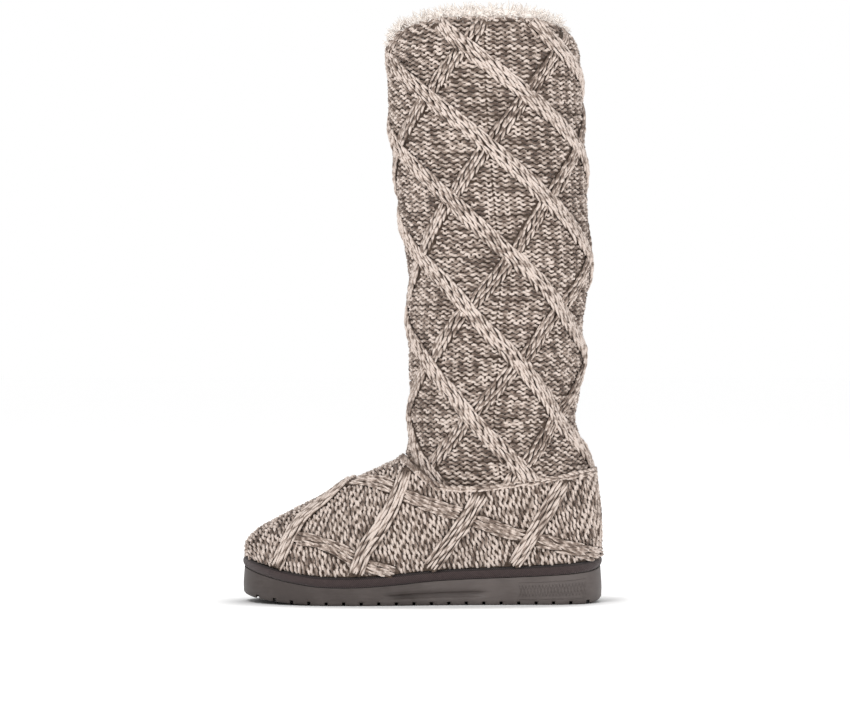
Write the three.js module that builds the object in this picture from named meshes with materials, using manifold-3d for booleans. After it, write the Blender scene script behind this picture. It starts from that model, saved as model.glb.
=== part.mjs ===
// A tall knitted winter boot for the left foot, in millimetres, standing on its sole with the toe
// towards -X and the outer side of the foot towards -Y.
import * as THREE from 'three';
import { mergeVertices } from 'three/addons/utils/BufferGeometryUtils.js';
import Module from 'manifold-3d';

const wasm = await Module();
wasm.setup();

// Driving dimensions.
const soleLength = 270;
const ballWidth = 100;
const waistWidth = 79;
const heelWidth = 76;
const platformHeight = 7.4;
const insoleThickness = 4;
const wall = 3;
const gap = 0.35;
const rimHeight = 436;
const rimDip = 8;
const shaftTuck = 2;
const seamAllowance = 5;

// The raised cable bands of the lattice: five diamonds go round the shaft.
const diamondsRound = 5;
const bandFoot = 0.2;
const bandShoulder = 0.11;
const groundLines = [0.73, 1.27];
const overBandRise = 3.2;
const underBandRise = 2.3;
const footBand = { width: 10.4, top: 5.8, rise: 3, root: 1.4, step: 12 };

// Top of the platform and clearance of the tread above the floor, along the sole.
const soleRows = [
  { x: -135, featherline: 34.9, clearance: 6.5 },
  { x: -123, featherline: 30.6, clearance: 3.8 },
  { x: -113, featherline: 27.8, clearance: 2.6 },
  { x: -104, featherline: 25.7, clearance: 1.7 },
  { x: -95, featherline: 24.0, clearance: 1.0 },
  { x: -77, featherline: 21.6, clearance: 0 },
  { x: -50, featherline: 21.2, clearance: 0 },
  { x: -22, featherline: 22.9, clearance: 0 },
  { x: 2, featherline: 25.3, clearance: 0 },
  { x: 23, featherline: 26.7, clearance: 0 },
  { x: 69, featherline: 28.4, clearance: 0 },
  { x: 107, featherline: 30.3, clearance: 0 },
  { x: 118, featherline: 31.3, clearance: 0 },
  { x: 127, featherline: 32.6, clearance: 0.8 },
  { x: 135, featherline: 35.4, clearance: 3 },
];

// Sideways bend of the middle line, towards the big toe at the front.
const bendRows = [
  { x: -135, bend: 5.1 },
  { x: -92, bend: 2.3 },
  { x: -55, bend: -0.9 },
  { x: -15, bend: -2.9 },
  { x: 25, bend: -2.5 },
  { x: 80, bend: -1.1 },
  { x: 135, bend: -0.9 },
];

// Rings of the foot, from the featherline up over the vamp to the ankle seam. Each ring runs from
// a front point on the toe and vamp to a back point on the heel, with half-widths between them.
const footRings = [
  { frontX: -132.6, frontZ: 35.2, backX: 132.8, backZ: 35.6, ball: 47.4, waist: 37.4, heel: 35.6,
    nose: 0.27, tail: 0.16, sag: 1 },
  { frontX: -132.2, frontZ: 45, backX: 134, backZ: 50, ball: 47, waist: 39, heel: 37.4,
    nose: 0.28, tail: 0.18, sag: 0.85 },
  { frontX: -123.5, frontZ: 54.2, backX: 133.8, backZ: 61, ball: 44.4, waist: 40.2, heel: 38.4,
    nose: 0.3, tail: 0.22, sag: 0.65 },
  { frontX: -105, frontZ: 64.4, backX: 133.2, backZ: 70, ball: 42, waist: 41, heel: 39,
    nose: 0.35, tail: 0.28, sag: 0.45 },
  { frontX: -80, frontZ: 76.8, backX: 132.4, backZ: 78, ball: 40, waist: 41.6, heel: 39.8,
    nose: 0.42, tail: 0.36, sag: 0.25 },
  { frontX: -56, frontZ: 89, backX: 131.4, backZ: 85.5, ball: 41, waist: 42.4, heel: 41,
    nose: 0.48, tail: 0.44, sag: 0.1 },
  { frontX: -34, frontZ: 99.2, backX: 130.6, backZ: 91.5, ball: 42.6, waist: 43.4, heel: 42.4,
    nose: 0.5, tail: 0.5, sag: 0 },
  { frontX: -18, frontZ: 106.6, backX: 130, backZ: 97, ball: 43.8, waist: 44.4, heel: 43.8,
    nose: 0.5, tail: 0.5, sag: 0 },
  { frontX: -9, frontZ: 114.6, backX: 129, backZ: 105, ball: 44.6, waist: 44.6, heel: 44.6,
    nose: 0.5, tail: 0.5, sag: 0 },
];

// Oval sections of the shaft: its front, its back and half its width at each height.
const shaftRows = [
  { height: 70, front: -11.4, back: 127.6, half: 42 },
  { height: 92, front: -11.4, back: 127.2, half: 42.6 },
  { height: 104, front: -11.2, back: 125, half: 43.4 },
  { height: 115, front: -10.2, back: 121.8, half: 44 },
  { height: 129, front: -7.6, back: 115.6, half: 44.4 },
  { height: 140, front: -8, back: 113.6, half: 44.8 },
  { height: 155, front: -7.4, back: 116.6, half: 45.2 },
  { height: 172, front: -8.4, back: 118.4, half: 45.6 },
  { height: 188, front: -8.4, back: 121, half: 46 },
  { height: 206, front: -9.6, back: 119, half: 46 },
  { height: 237, front: -7.8, back: 123.4, half: 46 },
  { height: 256, front: -10, back: 125, half: 46 },
  { height: 278, front: -13.4, back: 123.4, half: 46 },
  { height: 305, front: -17, back: 122.4, half: 46 },
  { height: 346, front: -21.6, back: 120.6, half: 46 },
  { height: 383, front: -24.4, back: 118.4, half: 46 },
  { height: 408, front: -24.4, back: 117.2, half: 46 },
  { height: 420, front: -23.8, back: 116.4, half: 45.4 },
  { height: 428, front: -21.6, back: 114.2, half: 43.4 },
  { height: 433, front: -18.6, back: 111.2, half: 40.6 },
  { height: rimHeight, front: -15, back: 107.6, half: 37.2 },
];

// Height of each row of band crossings, and how far the lattice is turned round the shaft there.
const latticeRows = [
  { row: -1, height: 61, turn: 14 },
  { row: 0, height: 100.4, turn: 16.5 },
  { row: 1, height: 140, turn: 17.6 },
  { row: 2, height: 179.5, turn: 16.6 },
  { row: 3, height: 220, turn: 13.6 },
  { row: 4, height: 259, turn: 9.4 },
  { row: 5, height: 301, turn: 4 },
  { row: 6, height: 341, turn: -1 },
  { row: 7, height: 378.5, turn: -7 },
  { row: 8, height: 414.8, turn: -15 },
  { row: 9, height: 452, turn: -23 },
];
const shaftFromRow = -0.55;
const shaftToRow = 8.12;

// The ankle seam in side view: the foot is knitted below it and the shaft above it.
const seamLine = [
  [-150, 160], [-30, 160], [-17, 112], [-9, 103.5], [2, 95], [13, 88], [28, 86.4], [43, 87],
  [80, 91.6], [108, 96.2], [124, 98.6], [150, 101],
];

// Cable bands of the foot in side view, each from its upper to its lower end, on both sides.
// Those that start on the vamp run over its middle line.
const footBandLines = [
  { overVamp: true, line: [[-54, 91], [-73, 75.5], [-89.4, 62], [-98, 49], [-104, 36]] },
  { overVamp: false, line: [[-11, 99], [-24.7, 66.9], [-43.2, 39.5], [-48, 27]] },
  { overVamp: false, line: [[43.5, 84], [30.9, 61.7], [8.7, 31.5]] },
  { overVamp: false, line: [[104.5, 92.6], [86, 59.2], [69.6, 33]] },
  { overVamp: true, line: [[-59, 89], [-38, 90.5], [-24.8, 87.8], [-9.9, 80.2], [28.7, 66.9],
    [64.2, 54.3], [91.9, 47], [122, 38.5]] },
  { overVamp: false, line: [[-94, 50], [-68.3, 43.4], [-46.8, 32.3], [-34, 28]] },
];
const pastVampMiddle = 0.2;

// Tread: straight cross grooves between the lugs, open at both sides.
const treadGrooves = 20;
const firstGroove = -122.8;
const groovePitch = 12.95;
const grooveWidth = 2.3;
const grooveDepth = 2.6;

// Side of the outsole from the tread up: how far each level stands in from the widest outline.
const outsoleLevels = [
  { level: 0, inset: 1.6 },
  { level: 0.07, inset: 0.2 },
  { level: 0.3, inset: 0 },
  { level: 0.36, inset: 0, channel: 2 },
  { level: 0.5, inset: 0.1, channel: 2.3 },
  { level: 0.56, inset: 0.2 },
  { level: 1, inset: 0.9 },
];
const channelFrom = -29;
const channelTo = 50;
const channelRun = 9;

// Section of the fur roll: distance in from the outer skin of the shaft, and height.
const furSection = [
  { inset: 3.6, height: 404 },
  { inset: 3.6, height: 420 },
  { inset: 3.6, height: 427 },
  { inset: 3.6, height: 432 },
  { inset: 3.6, height: rimHeight + 0.4 },
  { inset: 0.6, height: rimHeight + 1.4 },
  { inset: 1, height: rimHeight + 5 },
  { inset: 6, height: rimHeight + 7.4 },
  { inset: 11, height: rimHeight + 3 },
  { inset: 13, height: 426 },
  { inset: 10, height: 408 },
];
const topLocks = 21;
const frontLocks = 5;

const meshDetail = 0.12;
const footColumns = 36;
const shaftColumns = 28;

const lerp = THREE.MathUtils.lerp;
const smoothstep = THREE.MathUtils.smoothstep;

// Value of one column of a table between its rows, on a smooth curve through them.
function along(rows, place, value, at) {
  const last = rows.length - 1;
  const bounded = THREE.MathUtils.clamp(at, rows[0][place], rows[last][place]);
  let i = 0;
  while (i < last - 1 && rows[i + 1][place] < bounded) i += 1;
  const slopeAt = (k) => {
    const before = rows[Math.max(k - 1, 0)];
    const after = rows[Math.min(k + 1, last)];
    return (after[value] - before[value]) / (after[place] - before[place]);
  };
  const span = rows[i + 1][place] - rows[i][place];
  const t = (bounded - rows[i][place]) / span;
  const rise = rows[i + 1][value] - rows[i][value];
  const startPull = slopeAt(i) * span - rise;
  const endPull = rise - slopeAt(i + 1) * span;
  return rows[i][value] + rise * t + t * (1 - t) * (startPull * (1 - t) + endPull * t);
}

const featherlineAt = (x) => along(soleRows, 'x', 'featherline', x);
const clearanceAt = (x) => Math.max(along(soleRows, 'x', 'clearance', x), 0);
const bendAt = (x) => along(bendRows, 'x', 'bend', x);

// Rounding of an outline's end: 0 at the tip and 1 from the end of the rounded stretch on.
function endRound(share) {
  const power = 2.2;
  const rest = THREE.MathUtils.clamp(1 - share, 0, 1);
  return (1 - rest ** power) ** (1 / power);
}

// Point of a foot outline: angle 0 is the toe tip, then it runs along the outer side to the heel.
function outlinePoint(outline, angle) {
  const s = (1 - Math.cos(angle)) / 2;
  const halves = [
    { at: 0, half: outline.ball }, { at: 0.3, half: outline.ball },
    { at: 0.58, half: outline.waist }, { at: 0.86, half: outline.heel },
    { at: 1, half: outline.heel },
  ];
  const rounding = endRound(s / outline.nose) * endRound((1 - s) / outline.tail);
  const half = along(halves, 'at', 'half', s) * rounding;
  const x = lerp(outline.frontX, outline.backX, s);
  const side = Math.sin(angle) >= 0 ? -1 : 1;
  return { s, x, y: bendAt(x) + side * half };
}

const soleOutline = (inset) => ({
  frontX: -soleLength / 2 + inset, backX: soleLength / 2 - inset,
  ball: ballWidth / 2 - inset, waist: waistWidth / 2 - inset, heel: heelWidth / 2 - inset,
  nose: 0.27, tail: 0.16,
});

const columnAngles = (count) => Array.from({ length: count }, (_, i) => 2 * Math.PI * i / count);

// Closed solid from triangles given as index triples into a list of points.
function solidOf(points, triangles) {
  const loose = new THREE.BufferGeometry();
  loose.setAttribute('position', new THREE.Float32BufferAttribute(
    points.flatMap((point) => [point.x, point.y, point.z]), 3));
  loose.setIndex(triangles.flat());
  const merged = mergeVertices(loose, 1e-4);
  const index = Array.from(merged.index.array);
  const kept = [];
  for (let i = 0; i < index.length; i += 3) {
    const [a, b, c] = index.slice(i, i + 3);
    if (a !== b && b !== c && c !== a) kept.push(a, b, c);
  }
  const mesh = new wasm.Mesh({
    numProp: 3,
    vertProperties: new Float32Array(merged.attributes.position.array),
    triVerts: new Uint32Array(kept),
  });
  return new wasm.Manifold(mesh);
}

const solidOfGeometry = (geometry) => {
  const place = geometry.attributes.position;
  const points = Array.from({ length: place.count },
    (_, i) => new THREE.Vector3().fromBufferAttribute(place, i));
  const index = geometry.index ? Array.from(geometry.index.array) : points.map((_, i) => i);
  const triangles = [];
  for (let i = 0; i < index.length; i += 3) triangles.push(index.slice(i, i + 3));
  return solidOf(points, triangles);
};

// Solid through level rings, each counter-clockwise from above, with its ends ruled across.
function loft(rings) {
  const count = rings[0].length;
  const points = rings.flat();
  const triangles = [];
  for (let r = 0; r + 1 < rings.length; r += 1) {
    for (let i = 0; i < count; i += 1) {
      const a = r * count + i;
      const b = r * count + (i + 1) % count;
      triangles.push([a, b, b + count], [a, b + count, a + count]);
    }
  }
  const top = (rings.length - 1) * count;
  for (let i = 0; i < count / 2; i += 1) {
    const near = [i, i + 1];
    const far = [(count - i) % count, count - i - 1];
    triangles.push([near[0], far[0], far[1]], [near[0], far[1], near[1]]);
    triangles.push([top + near[0], top + far[1], top + far[0]],
      [top + near[0], top + near[1], top + far[1]]);
  }
  return solidOf(points, triangles);
}

// Solid of one closed section carried along a path, with flat ends.
function sweep(sections) {
  const count = sections[0].length;
  const points = sections.flat();
  const triangles = [];
  for (let r = 0; r + 1 < sections.length; r += 1) {
    for (let i = 0; i < count; i += 1) {
      const a = r * count + i;
      const b = r * count + (i + 1) % count;
      triangles.push([a, b, b + count], [a, b + count, a + count]);
    }
  }
  const end = (sections.length - 1) * count;
  for (let i = 1; i + 1 < count; i += 1) {
    triangles.push([0, i + 1, i], [end, end + i, end + i + 1]);
  }
  return solidOf(points, triangles);
}

// Everything in side view inside an outline, right across the boot.
function slabAcross(outline) {
  const reach = 90;
  const shape = new THREE.Shape(outline.map(([x, z]) => new THREE.Vector2(x, z)));
  const geometry = new THREE.ExtrudeGeometry(shape, { depth: 2 * reach, bevelEnabled: false });
  geometry.rotateX(Math.PI / 2);
  geometry.translate(0, reach, 0);
  return solidOfGeometry(geometry);
}

// Skin of the foot at a ring number, which may lie between two rings, and an angle.
const ringTable = footRings.map((row, ring) => ({ ring, ...row }));
function footSkin(ring, angle) {
  const row = {};
  for (const name of Object.keys(footRings[0])) row[name] = along(ringTable, 'ring', name, ring);
  const { s, x, y } = outlinePoint(row, angle);
  const chord = lerp(row.frontZ, row.backZ, s);
  const lowest = footRings[0];
  const dip = featherlineAt(lerp(lowest.frontX, lowest.backX, s))
    - lerp(lowest.frontZ, lowest.backZ, s);
  return new THREE.Vector3(x, y, chord + row.sag * dip);
}

// Outward direction of the foot's skin.
function footNormal(ring, angle) {
  const d = 0.02;
  const round = footSkin(ring, angle + d).sub(footSkin(ring, angle - d));
  const up = footSkin(Math.min(ring + d, footRings.length - 1), angle)
    .sub(footSkin(Math.max(ring - d, 0), angle));
  return round.cross(up).normalize();
}

const footPoint = (ring, angle, outset) =>
  footSkin(ring, angle).addScaledVector(footNormal(ring, angle), outset);

// Ring number and angle of the foot's skin where side view shows the point x, z.
function footPlace(x, z, side) {
  let low = 0;
  let high = footRings.length - 1;
  const angleAt = (ring) => {
    const front = along(ringTable, 'ring', 'frontX', ring);
    const back = along(ringTable, 'ring', 'backX', ring);
    const s = THREE.MathUtils.clamp((x - front) / (back - front), 0, 1);
    const angle = Math.acos(1 - 2 * s);
    return side < 0 ? angle : 2 * Math.PI - angle;
  };
  for (let i = 0; i < 30; i += 1) {
    const middle = (low + high) / 2;
    const point = footSkin(middle, angleAt(middle));
    const above = point.z > z || along(ringTable, 'ring', 'frontX', middle) > x;
    if (above) high = middle;
    else low = middle;
  }
  return { ring: low, angle: angleAt(low) };
}

// Angle round an oval at a share of its circumference, from the middle of the outer side.
function ovalAngle(a, b, share) {
  const steps = 90;
  const turns = Math.floor(share);
  const lengths = [0];
  for (let i = 0; i < steps; i += 1) {
    const angle = 2 * Math.PI * (i + 0.5) / steps;
    lengths.push(lengths[i] + Math.hypot(a * Math.cos(angle), b * Math.sin(angle)));
  }
  const sought = (share - turns) * lengths[steps];
  let i = 0;
  while (lengths[i + 1] < sought) i += 1;
  const part = (sought - lengths[i]) / (lengths[i + 1] - lengths[i]);
  return 2 * Math.PI * (turns + (i + part) / steps);
}

// Point of the shaft at a height and a share of the way round, set out from its skin.
function shaftPoint(height, share, outset) {
  const front = along(shaftRows, 'height', 'front', height);
  const back = along(shaftRows, 'height', 'back', height);
  const half = along(shaftRows, 'height', 'half', height);
  const long = (back - front) / 2;
  const angle = ovalAngle(long, half, share);
  const drop = rimDip * Math.sin(angle) ** 4 * smoothstep(height, 395, rimHeight - 6);
  return new THREE.Vector3(
    (front + back) / 2 + (long + outset) * Math.sin(angle),
    -(half + outset) * Math.cos(angle),
    height - drop,
  );
}

const shaftRing = (height, outset, count = shaftColumns) =>
  columnAngles(count).map((angle) => shaftPoint(height, angle / (2 * Math.PI) - 0.25, outset));

// Lattice of the shaft. A point has a column c, in half diamonds round the shaft, and a row r.
// Bands that fall towards the heel lie where c + r is even, and bands that rise where c - r is.
const columnsRound = 2 * diamondsRound;
const bandProfile = (offset) => {
  const nearest = Math.abs(offset - 2 * Math.round(offset / 2));
  return THREE.MathUtils.clamp((bandFoot - nearest) / (bandFoot - bandShoulder), 0, 1);
};
const latticeRise = (c, r) =>
  Math.max(overBandRise * bandProfile(c + r), underBandRise * bandProfile(c - r));

function latticePoint(c, r, rise) {
  const height = along(latticeRows, 'row', 'height', r);
  const turn = along(latticeRows, 'row', 'turn', r);
  const circumference = 368;
  return shaftPoint(height, c / columnsRound + turn / circumference, rise);
}

// Grid lines along the bands: two feet and two shoulders for each band, and the ground between.
function latticeLines(from, to) {
  const period = [-bandFoot, -bandShoulder, bandShoulder, bandFoot, ...groundLines];
  const lines = [];
  for (let k = Math.floor(from / 2) - 1; 2 * k <= to + 2; k += 1) {
    for (const line of period) lines.push(2 * k + line);
  }
  return lines;
}

// Part of a cell that lies on the kept side of a row.
function clipAtRow(cell, row, keepAbove) {
  const inside = (p) => (keepAbove ? p.r >= row : p.r <= row);
  const kept = [];
  cell.forEach((p, i) => {
    const next = cell[(i + 1) % cell.length];
    if (inside(p)) kept.push(p);
    if (inside(p) !== inside(next)) {
      const t = (row - p.r) / (next.r - p.r);
      kept.push({ c: lerp(p.c, next.c, t), r: row });
    }
  });
  return kept;
}

// Outer form of the shaft: the lattice, then the rim that rolls inwards.
function shaftOuter() {
  const points = [];
  const triangles = [];
  const fan = (corners) => {
    const first = points.length;
    points.push(...corners);
    for (let i = 1; i + 1 < corners.length; i += 1) {
      triangles.push([first, first + i, first + i + 1]);
    }
  };
  const onLattice = ({ c, r }) => latticePoint(c, r, latticeRise(c, r));
  const falls = latticeLines(2 * shaftFromRow - 2, columnsRound + 2 * shaftToRow + 2);
  const rises = latticeLines(0, columnsRound).filter(
    (line) => line > bandShoulder - 1e-9 && line < columnsRound + bandShoulder + 1e-9);
  for (let j = 0; j + 1 < rises.length; j += 1) {
    for (let i = 0; i + 1 < falls.length; i += 1) {
      const corner = (m, n) => ({ c: (m + n) / 2, r: (m - n) / 2 });
      const cell = [
        corner(falls[i], rises[j + 1]), corner(falls[i + 1], rises[j + 1]),
        corner(falls[i + 1], rises[j]), corner(falls[i], rises[j]),
      ];
      const kept = clipAtRow(clipAtRow(cell, shaftFromRow, true), shaftToRow, false);
      if (kept.length > 2) fan(kept.map(onLattice));
    }
  }
  const edgeColumns = (r) => {
    const columns = new Set();
    for (const line of latticeLines(-30, 40)) {
      for (const c of [line - r, line + r]) {
        if (c >= 0 && c < columnsRound) columns.add(Number(c.toFixed(9)));
      }
    }
    return [...columns].sort((p, q) => p - q);
  };
  const topColumns = edgeColumns(shaftToRow);
  const rimSteps = [
    { row: shaftToRow, rise: 1 }, { row: 8.3, rise: 0.7 }, { row: 8.44, rise: 0.35 },
    { row: 8.57, rise: 0 },
  ];
  const rim = rimSteps.map(({ row, rise }) => topColumns.map(
    (c) => latticePoint(c, row, rise * latticeRise(c, shaftToRow))));
  for (let k = 0; k + 1 < rim.length; k += 1) {
    rim[k].forEach((point, i) => {
      const next = (i + 1) % rim[k].length;
      fan([point, rim[k][next], rim[k + 1][next], rim[k + 1][i]]);
    });
  }
  const lid = new THREE.Vector3(48, 0, rimHeight - 5);
  const top = rim[rim.length - 1];
  top.forEach((point, i) => fan([point, top[(i + 1) % top.length], lid]));
  const base = new THREE.Vector3(55, 0, 80);
  const bottom = edgeColumns(shaftFromRow).map((c) => onLattice({ c, r: shaftFromRow }));
  bottom.forEach((point, i) => fan([bottom[(i + 1) % bottom.length], point, base]));
  return solidOf(points, triangles);
}

// Inside of the shaft, run past the rim and below the ankle seam.
function shaftInner() {
  const heights = [78, 92, 104, 115, 129, 140, 155, 188, 206, 237, 256, 305, 346, 404, 420, 427, 432,
    rimHeight];
  const rings = heights.map((height) => shaftRing(height, -wall));
  rings.push(shaftRing(rimHeight, -wall).map((p) => p.clone().setZ(rimHeight + 12)));
  return loft(rings);
}

function footRingsAt(numbers, outset, count) {
  return numbers.map((ring) => columnAngles(count).map((angle) => footPoint(ring, angle, outset)));
}

// Raised band on the foot along a line given in side view.
function footBandSolid({ overVamp, line }, side) {
  const curve = new THREE.CatmullRomCurve3(line.map(([x, z]) => new THREE.Vector3(x, 0, z)));
  const steps = Math.max(2, Math.round(curve.getLength() / footBand.step));
  const places = curve.getSpacedPoints(steps).map((p) => footPlace(p.x, p.z, side));
  if (overVamp) places[0].angle = side * pastVampMiddle;
  const centres = places.map(({ ring, angle }) => footSkin(ring, angle));
  return sweep(centres.map((centre, i) => {
    const normal = footNormal(places[i].ring, places[i].angle);
    const ahead = centres[Math.min(i + 1, steps)].clone().sub(centres[Math.max(i - 1, 0)]);
    const across = normal.clone().cross(ahead).normalize();
    const corner = (sideways, out) =>
      centre.clone().addScaledVector(across, sideways).addScaledVector(normal, out);
    return [
      corner(-footBand.width / 2, -footBand.root), corner(footBand.width / 2, -footBand.root),
      corner(footBand.top / 2, footBand.rise), corner(-footBand.top / 2, footBand.rise),
    ];
  }));
}

function footOuter() {
  const numbers = [0, 0.5, 1, 1.5, 2, 3, 4, 5, 6, 7, 8];
  let foot = loft(footRingsAt(numbers, 0, footColumns));
  for (const band of footBandLines) {
    for (const side of [-1, 1]) foot = foot.add(footBandSolid(band, side));
  }
  return foot;
}

// Inside of the foot, run down through the platform so that the upper is open underneath.
function footInner() {
  const rings = footRingsAt([0, 1, 2, 3, 4, 5, 6, 7, 8], -wall, shaftColumns);
  const below = rings[0].map((p) => p.clone().setZ(p.z - 12));
  return loft([below, ...rings]);
}

// Side-view regions on either side of the ankle seam, moved down by a drop.
const seamLowered = (drop) => seamLine.map(([x, z]) => [x, z - drop]);
const belowSeam = (drop) => slabAcross([...seamLowered(drop), [150, -20], [-150, -20]]);
const aboveSeam = (drop) => slabAcross([[150, 480], [-150, 480], ...seamLowered(drop)].reverse());

// One hollow wall. The shaft tucks in under the foot at the ankle seam, where the foot's wall
// is left thicker, as a seam allowance is.
function upperSolid() {
  const featherline = [];
  for (let x = -140; x <= 140; x += 7) featherline.push([x, featherlineAt(x)]);
  const aboveSole = slabAcross([[140, 480], [-140, 480], ...featherline].reverse());
  const outer = footOuter().intersect(belowSeam(0)).add(shaftOuter().intersect(aboveSeam(shaftTuck)));
  const inner = shaftInner().add(footInner().intersect(belowSeam(seamAllowance)));
  return outer.subtract(inner).intersect(aboveSole).simplify(meshDetail);
}

// Level ring of the sole, with its height worked out from the place along the sole.
const soleRing = (inset, heightAt) => columnAngles(footColumns).map((angle) => {
  const { x, y } = outlinePoint(soleOutline(inset), angle);
  return new THREE.Vector3(x, y, heightAt(x));
});

function platformSolid() {
  const edge = [
    { level: 0, inset: 1.4 }, { level: 0.2, inset: 0.2 }, { level: 0.5, inset: -0.3 },
    { level: 0.82, inset: 0.3 }, { level: 1, inset: 1.6 },
  ];
  return loft(edge.map(({ level, inset }) => soleRing(inset, (x) => {
    const top = featherlineAt(x) - gap;
    return lerp(top - platformHeight, top, level);
  })));
}

function insoleSolid() {
  const inset = 2.6 + wall + 1;
  return loft([0, 0.75, 1].map((level) => soleRing(level === 1 ? inset + 1 : inset,
    (x) => featherlineAt(x) + gap * 0.2 + level * insoleThickness)));
}

const outsoleTopAt = (x) => featherlineAt(x) - platformHeight - 2 * gap;

function outsoleSolid() {
  const channelAt = (x) => smoothstep(x, channelFrom, channelFrom + channelRun)
    * (1 - smoothstep(x, channelTo - channelRun, channelTo));
  const rings = outsoleLevels.map(({ level, inset, channel = 0 }) =>
    columnAngles(footColumns).map((angle) => {
      const rough = outlinePoint(soleOutline(inset), angle).x;
      const { x, y } = outlinePoint(soleOutline(inset + channel * channelAt(rough)), angle);
      return new THREE.Vector3(x, y, lerp(clearanceAt(x), outsoleTopAt(x), level));
    }));
  let sole = loft(rings);
  for (let k = 0; k < treadGrooves; k += 1) {
    const x = firstGroove + k * groovePitch;
    const depth = clearanceAt(x) + grooveDepth + 5;
    const groove = new THREE.BoxGeometry(grooveWidth, 2 * ballWidth, depth);
    groove.translate(x, 0, depth / 2 - 5);
    sole = sole.subtract(solidOfGeometry(groove));
  }
  return sole;
}

// Tapered lock of fur along a few points, each with the half-width of the lock there.
function lockSolid(path, halfWidths) {
  return sweep(path.map((point, i) => {
    const ahead = path[Math.min(i + 1, path.length - 1)].clone().sub(path[Math.max(i - 1, 0)]);
    const across = new THREE.Vector3(0, 0, 1).cross(new THREE.Vector3(point.x - 48, point.y, 0))
      .normalize();
    const out = across.clone().cross(ahead).normalize();
    const w = halfWidths[i];
    return [[-1, -0.7], [1, -0.7], [0, 1]].map(([sideways, outwards]) => point.clone()
      .addScaledVector(across, sideways * w).addScaledVector(out, -outwards * w));
  }));
}

// Fur roll inside the rim. Locks stand up out of it all round, and a few hang over the front.
function furSolid() {
  const furPoint = (share, inset, height) => {
    const level = shaftPoint(Math.min(height, rimHeight), share, -inset);
    return level.setZ(level.z + Math.max(height - rimHeight, 0));
  };
  const stations = columnAngles(shaftColumns).map((angle) => angle / (2 * Math.PI) - 0.25);
  const sections = stations.map((share) =>
    furSection.map(({ inset, height }) => furPoint(share, inset, height)));
  const points = sections.flat();
  const count = furSection.length;
  const triangles = [];
  for (let i = 0; i < shaftColumns; i += 1) {
    const next = (i + 1) % shaftColumns;
    for (let k = 0; k < count; k += 1) {
      const above = (k + 1) % count;
      triangles.push([i * count + k, next * count + k, next * count + above],
        [i * count + k, next * count + above, i * count + above]);
    }
  }
  let fur = solidOf(points, triangles);
  for (let i = 0; i < topLocks; i += 1) {
    const share = (i + 0.5) / topLocks;
    const lean = 2.4 * Math.sin(i * 2.4);
    const top = rimHeight + 10.5 + 1.5 * Math.sin(i * 1.7);
    fur = fur.add(lockSolid([
      furPoint(share, 6, rimHeight + 3),
      furPoint(share + 0.004 * lean, 5 + lean * 0.5, rimHeight + 7.5),
      furPoint(share + 0.01 * lean, 4 + lean, top),
    ], [4, 3, 0.8]));
  }
  for (let i = 0; i < frontLocks; i += 1) {
    const share = -0.25 + 0.028 * (i - (frontLocks - 1) / 2);
    fur = fur.add(lockSolid([
      furPoint(share, 5, rimHeight + 4),
      furPoint(share, 0.5, rimHeight + 5.5),
      furPoint(share, -5.2, rimHeight + 1),
      furPoint(share, -6.6, rimHeight - 7 - 2 * (i % 2)),
    ], [3.4, 3.4, 2.6, 0.8]));
  }
  return fur;
}

const knit = new THREE.MeshStandardMaterial({ color: 0xa3968a, roughness: 0.95 });
const rubber = new THREE.MeshStandardMaterial({ color: 0x504744, roughness: 0.6 });
const tape = new THREE.MeshStandardMaterial({ color: 0x3c3232, roughness: 0.85 });
const fleece = new THREE.MeshStandardMaterial({ color: 0xeee8df, roughness: 1 });

function meshOf(name, solid, material) {
  const { numProp, vertProperties, triVerts } = solid.getMesh();
  const geometry = new THREE.BufferGeometry();
  const place = [];
  for (let i = 0; i < vertProperties.length; i += numProp) {
    place.push(vertProperties[i], vertProperties[i + 1], vertProperties[i + 2]);
  }
  geometry.setAttribute('position', new THREE.Float32BufferAttribute(place, 3));
  geometry.setIndex(Array.from(triVerts));
  const mesh = new THREE.Mesh(geometry, material);
  mesh.name = name;
  return mesh;
}

const boot = new THREE.Group();
boot.add(
  meshOf('outsole', outsoleSolid(), rubber),
  meshOf('platform', platformSolid(), tape),
  meshOf('insole', insoleSolid(), fleece),
  meshOf('upper', upperSolid(), knit),
  meshOf('fur_collar', furSolid(), fleece),
);

export default boot;
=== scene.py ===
"""Dresses the frame of a tall knitted winter boot: yarn, fleece, taped platform and rubber sole.

Sizes are in millimetres until a mesh is made. The boot stands on its sole with the toe towards
-X and the outer side of the foot towards -Y.
"""
import logging
import math
from collections.abc import Callable, Sequence
from dataclasses import dataclass, field, fields
from enum import Enum

import bpy
import numpy as np
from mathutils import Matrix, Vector
from mathutils.kdtree import KDTree


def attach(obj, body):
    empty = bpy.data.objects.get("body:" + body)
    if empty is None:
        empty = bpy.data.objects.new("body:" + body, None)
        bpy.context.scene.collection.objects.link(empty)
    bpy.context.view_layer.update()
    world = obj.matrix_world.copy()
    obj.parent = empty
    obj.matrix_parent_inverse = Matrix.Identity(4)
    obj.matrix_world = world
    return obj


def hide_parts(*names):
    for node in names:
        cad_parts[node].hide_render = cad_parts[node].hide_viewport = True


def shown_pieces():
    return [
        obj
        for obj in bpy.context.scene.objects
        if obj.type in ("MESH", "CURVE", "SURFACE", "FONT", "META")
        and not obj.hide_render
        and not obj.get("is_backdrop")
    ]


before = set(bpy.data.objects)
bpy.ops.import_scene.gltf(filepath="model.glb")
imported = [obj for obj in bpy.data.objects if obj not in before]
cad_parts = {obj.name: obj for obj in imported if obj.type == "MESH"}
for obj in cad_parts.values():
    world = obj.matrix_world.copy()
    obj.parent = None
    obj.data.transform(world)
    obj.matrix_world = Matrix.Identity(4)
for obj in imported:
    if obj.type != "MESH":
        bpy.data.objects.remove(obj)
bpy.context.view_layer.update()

Array = np.ndarray
Colour = tuple[float, float, float]

log = logging.getLogger("boot")

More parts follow.
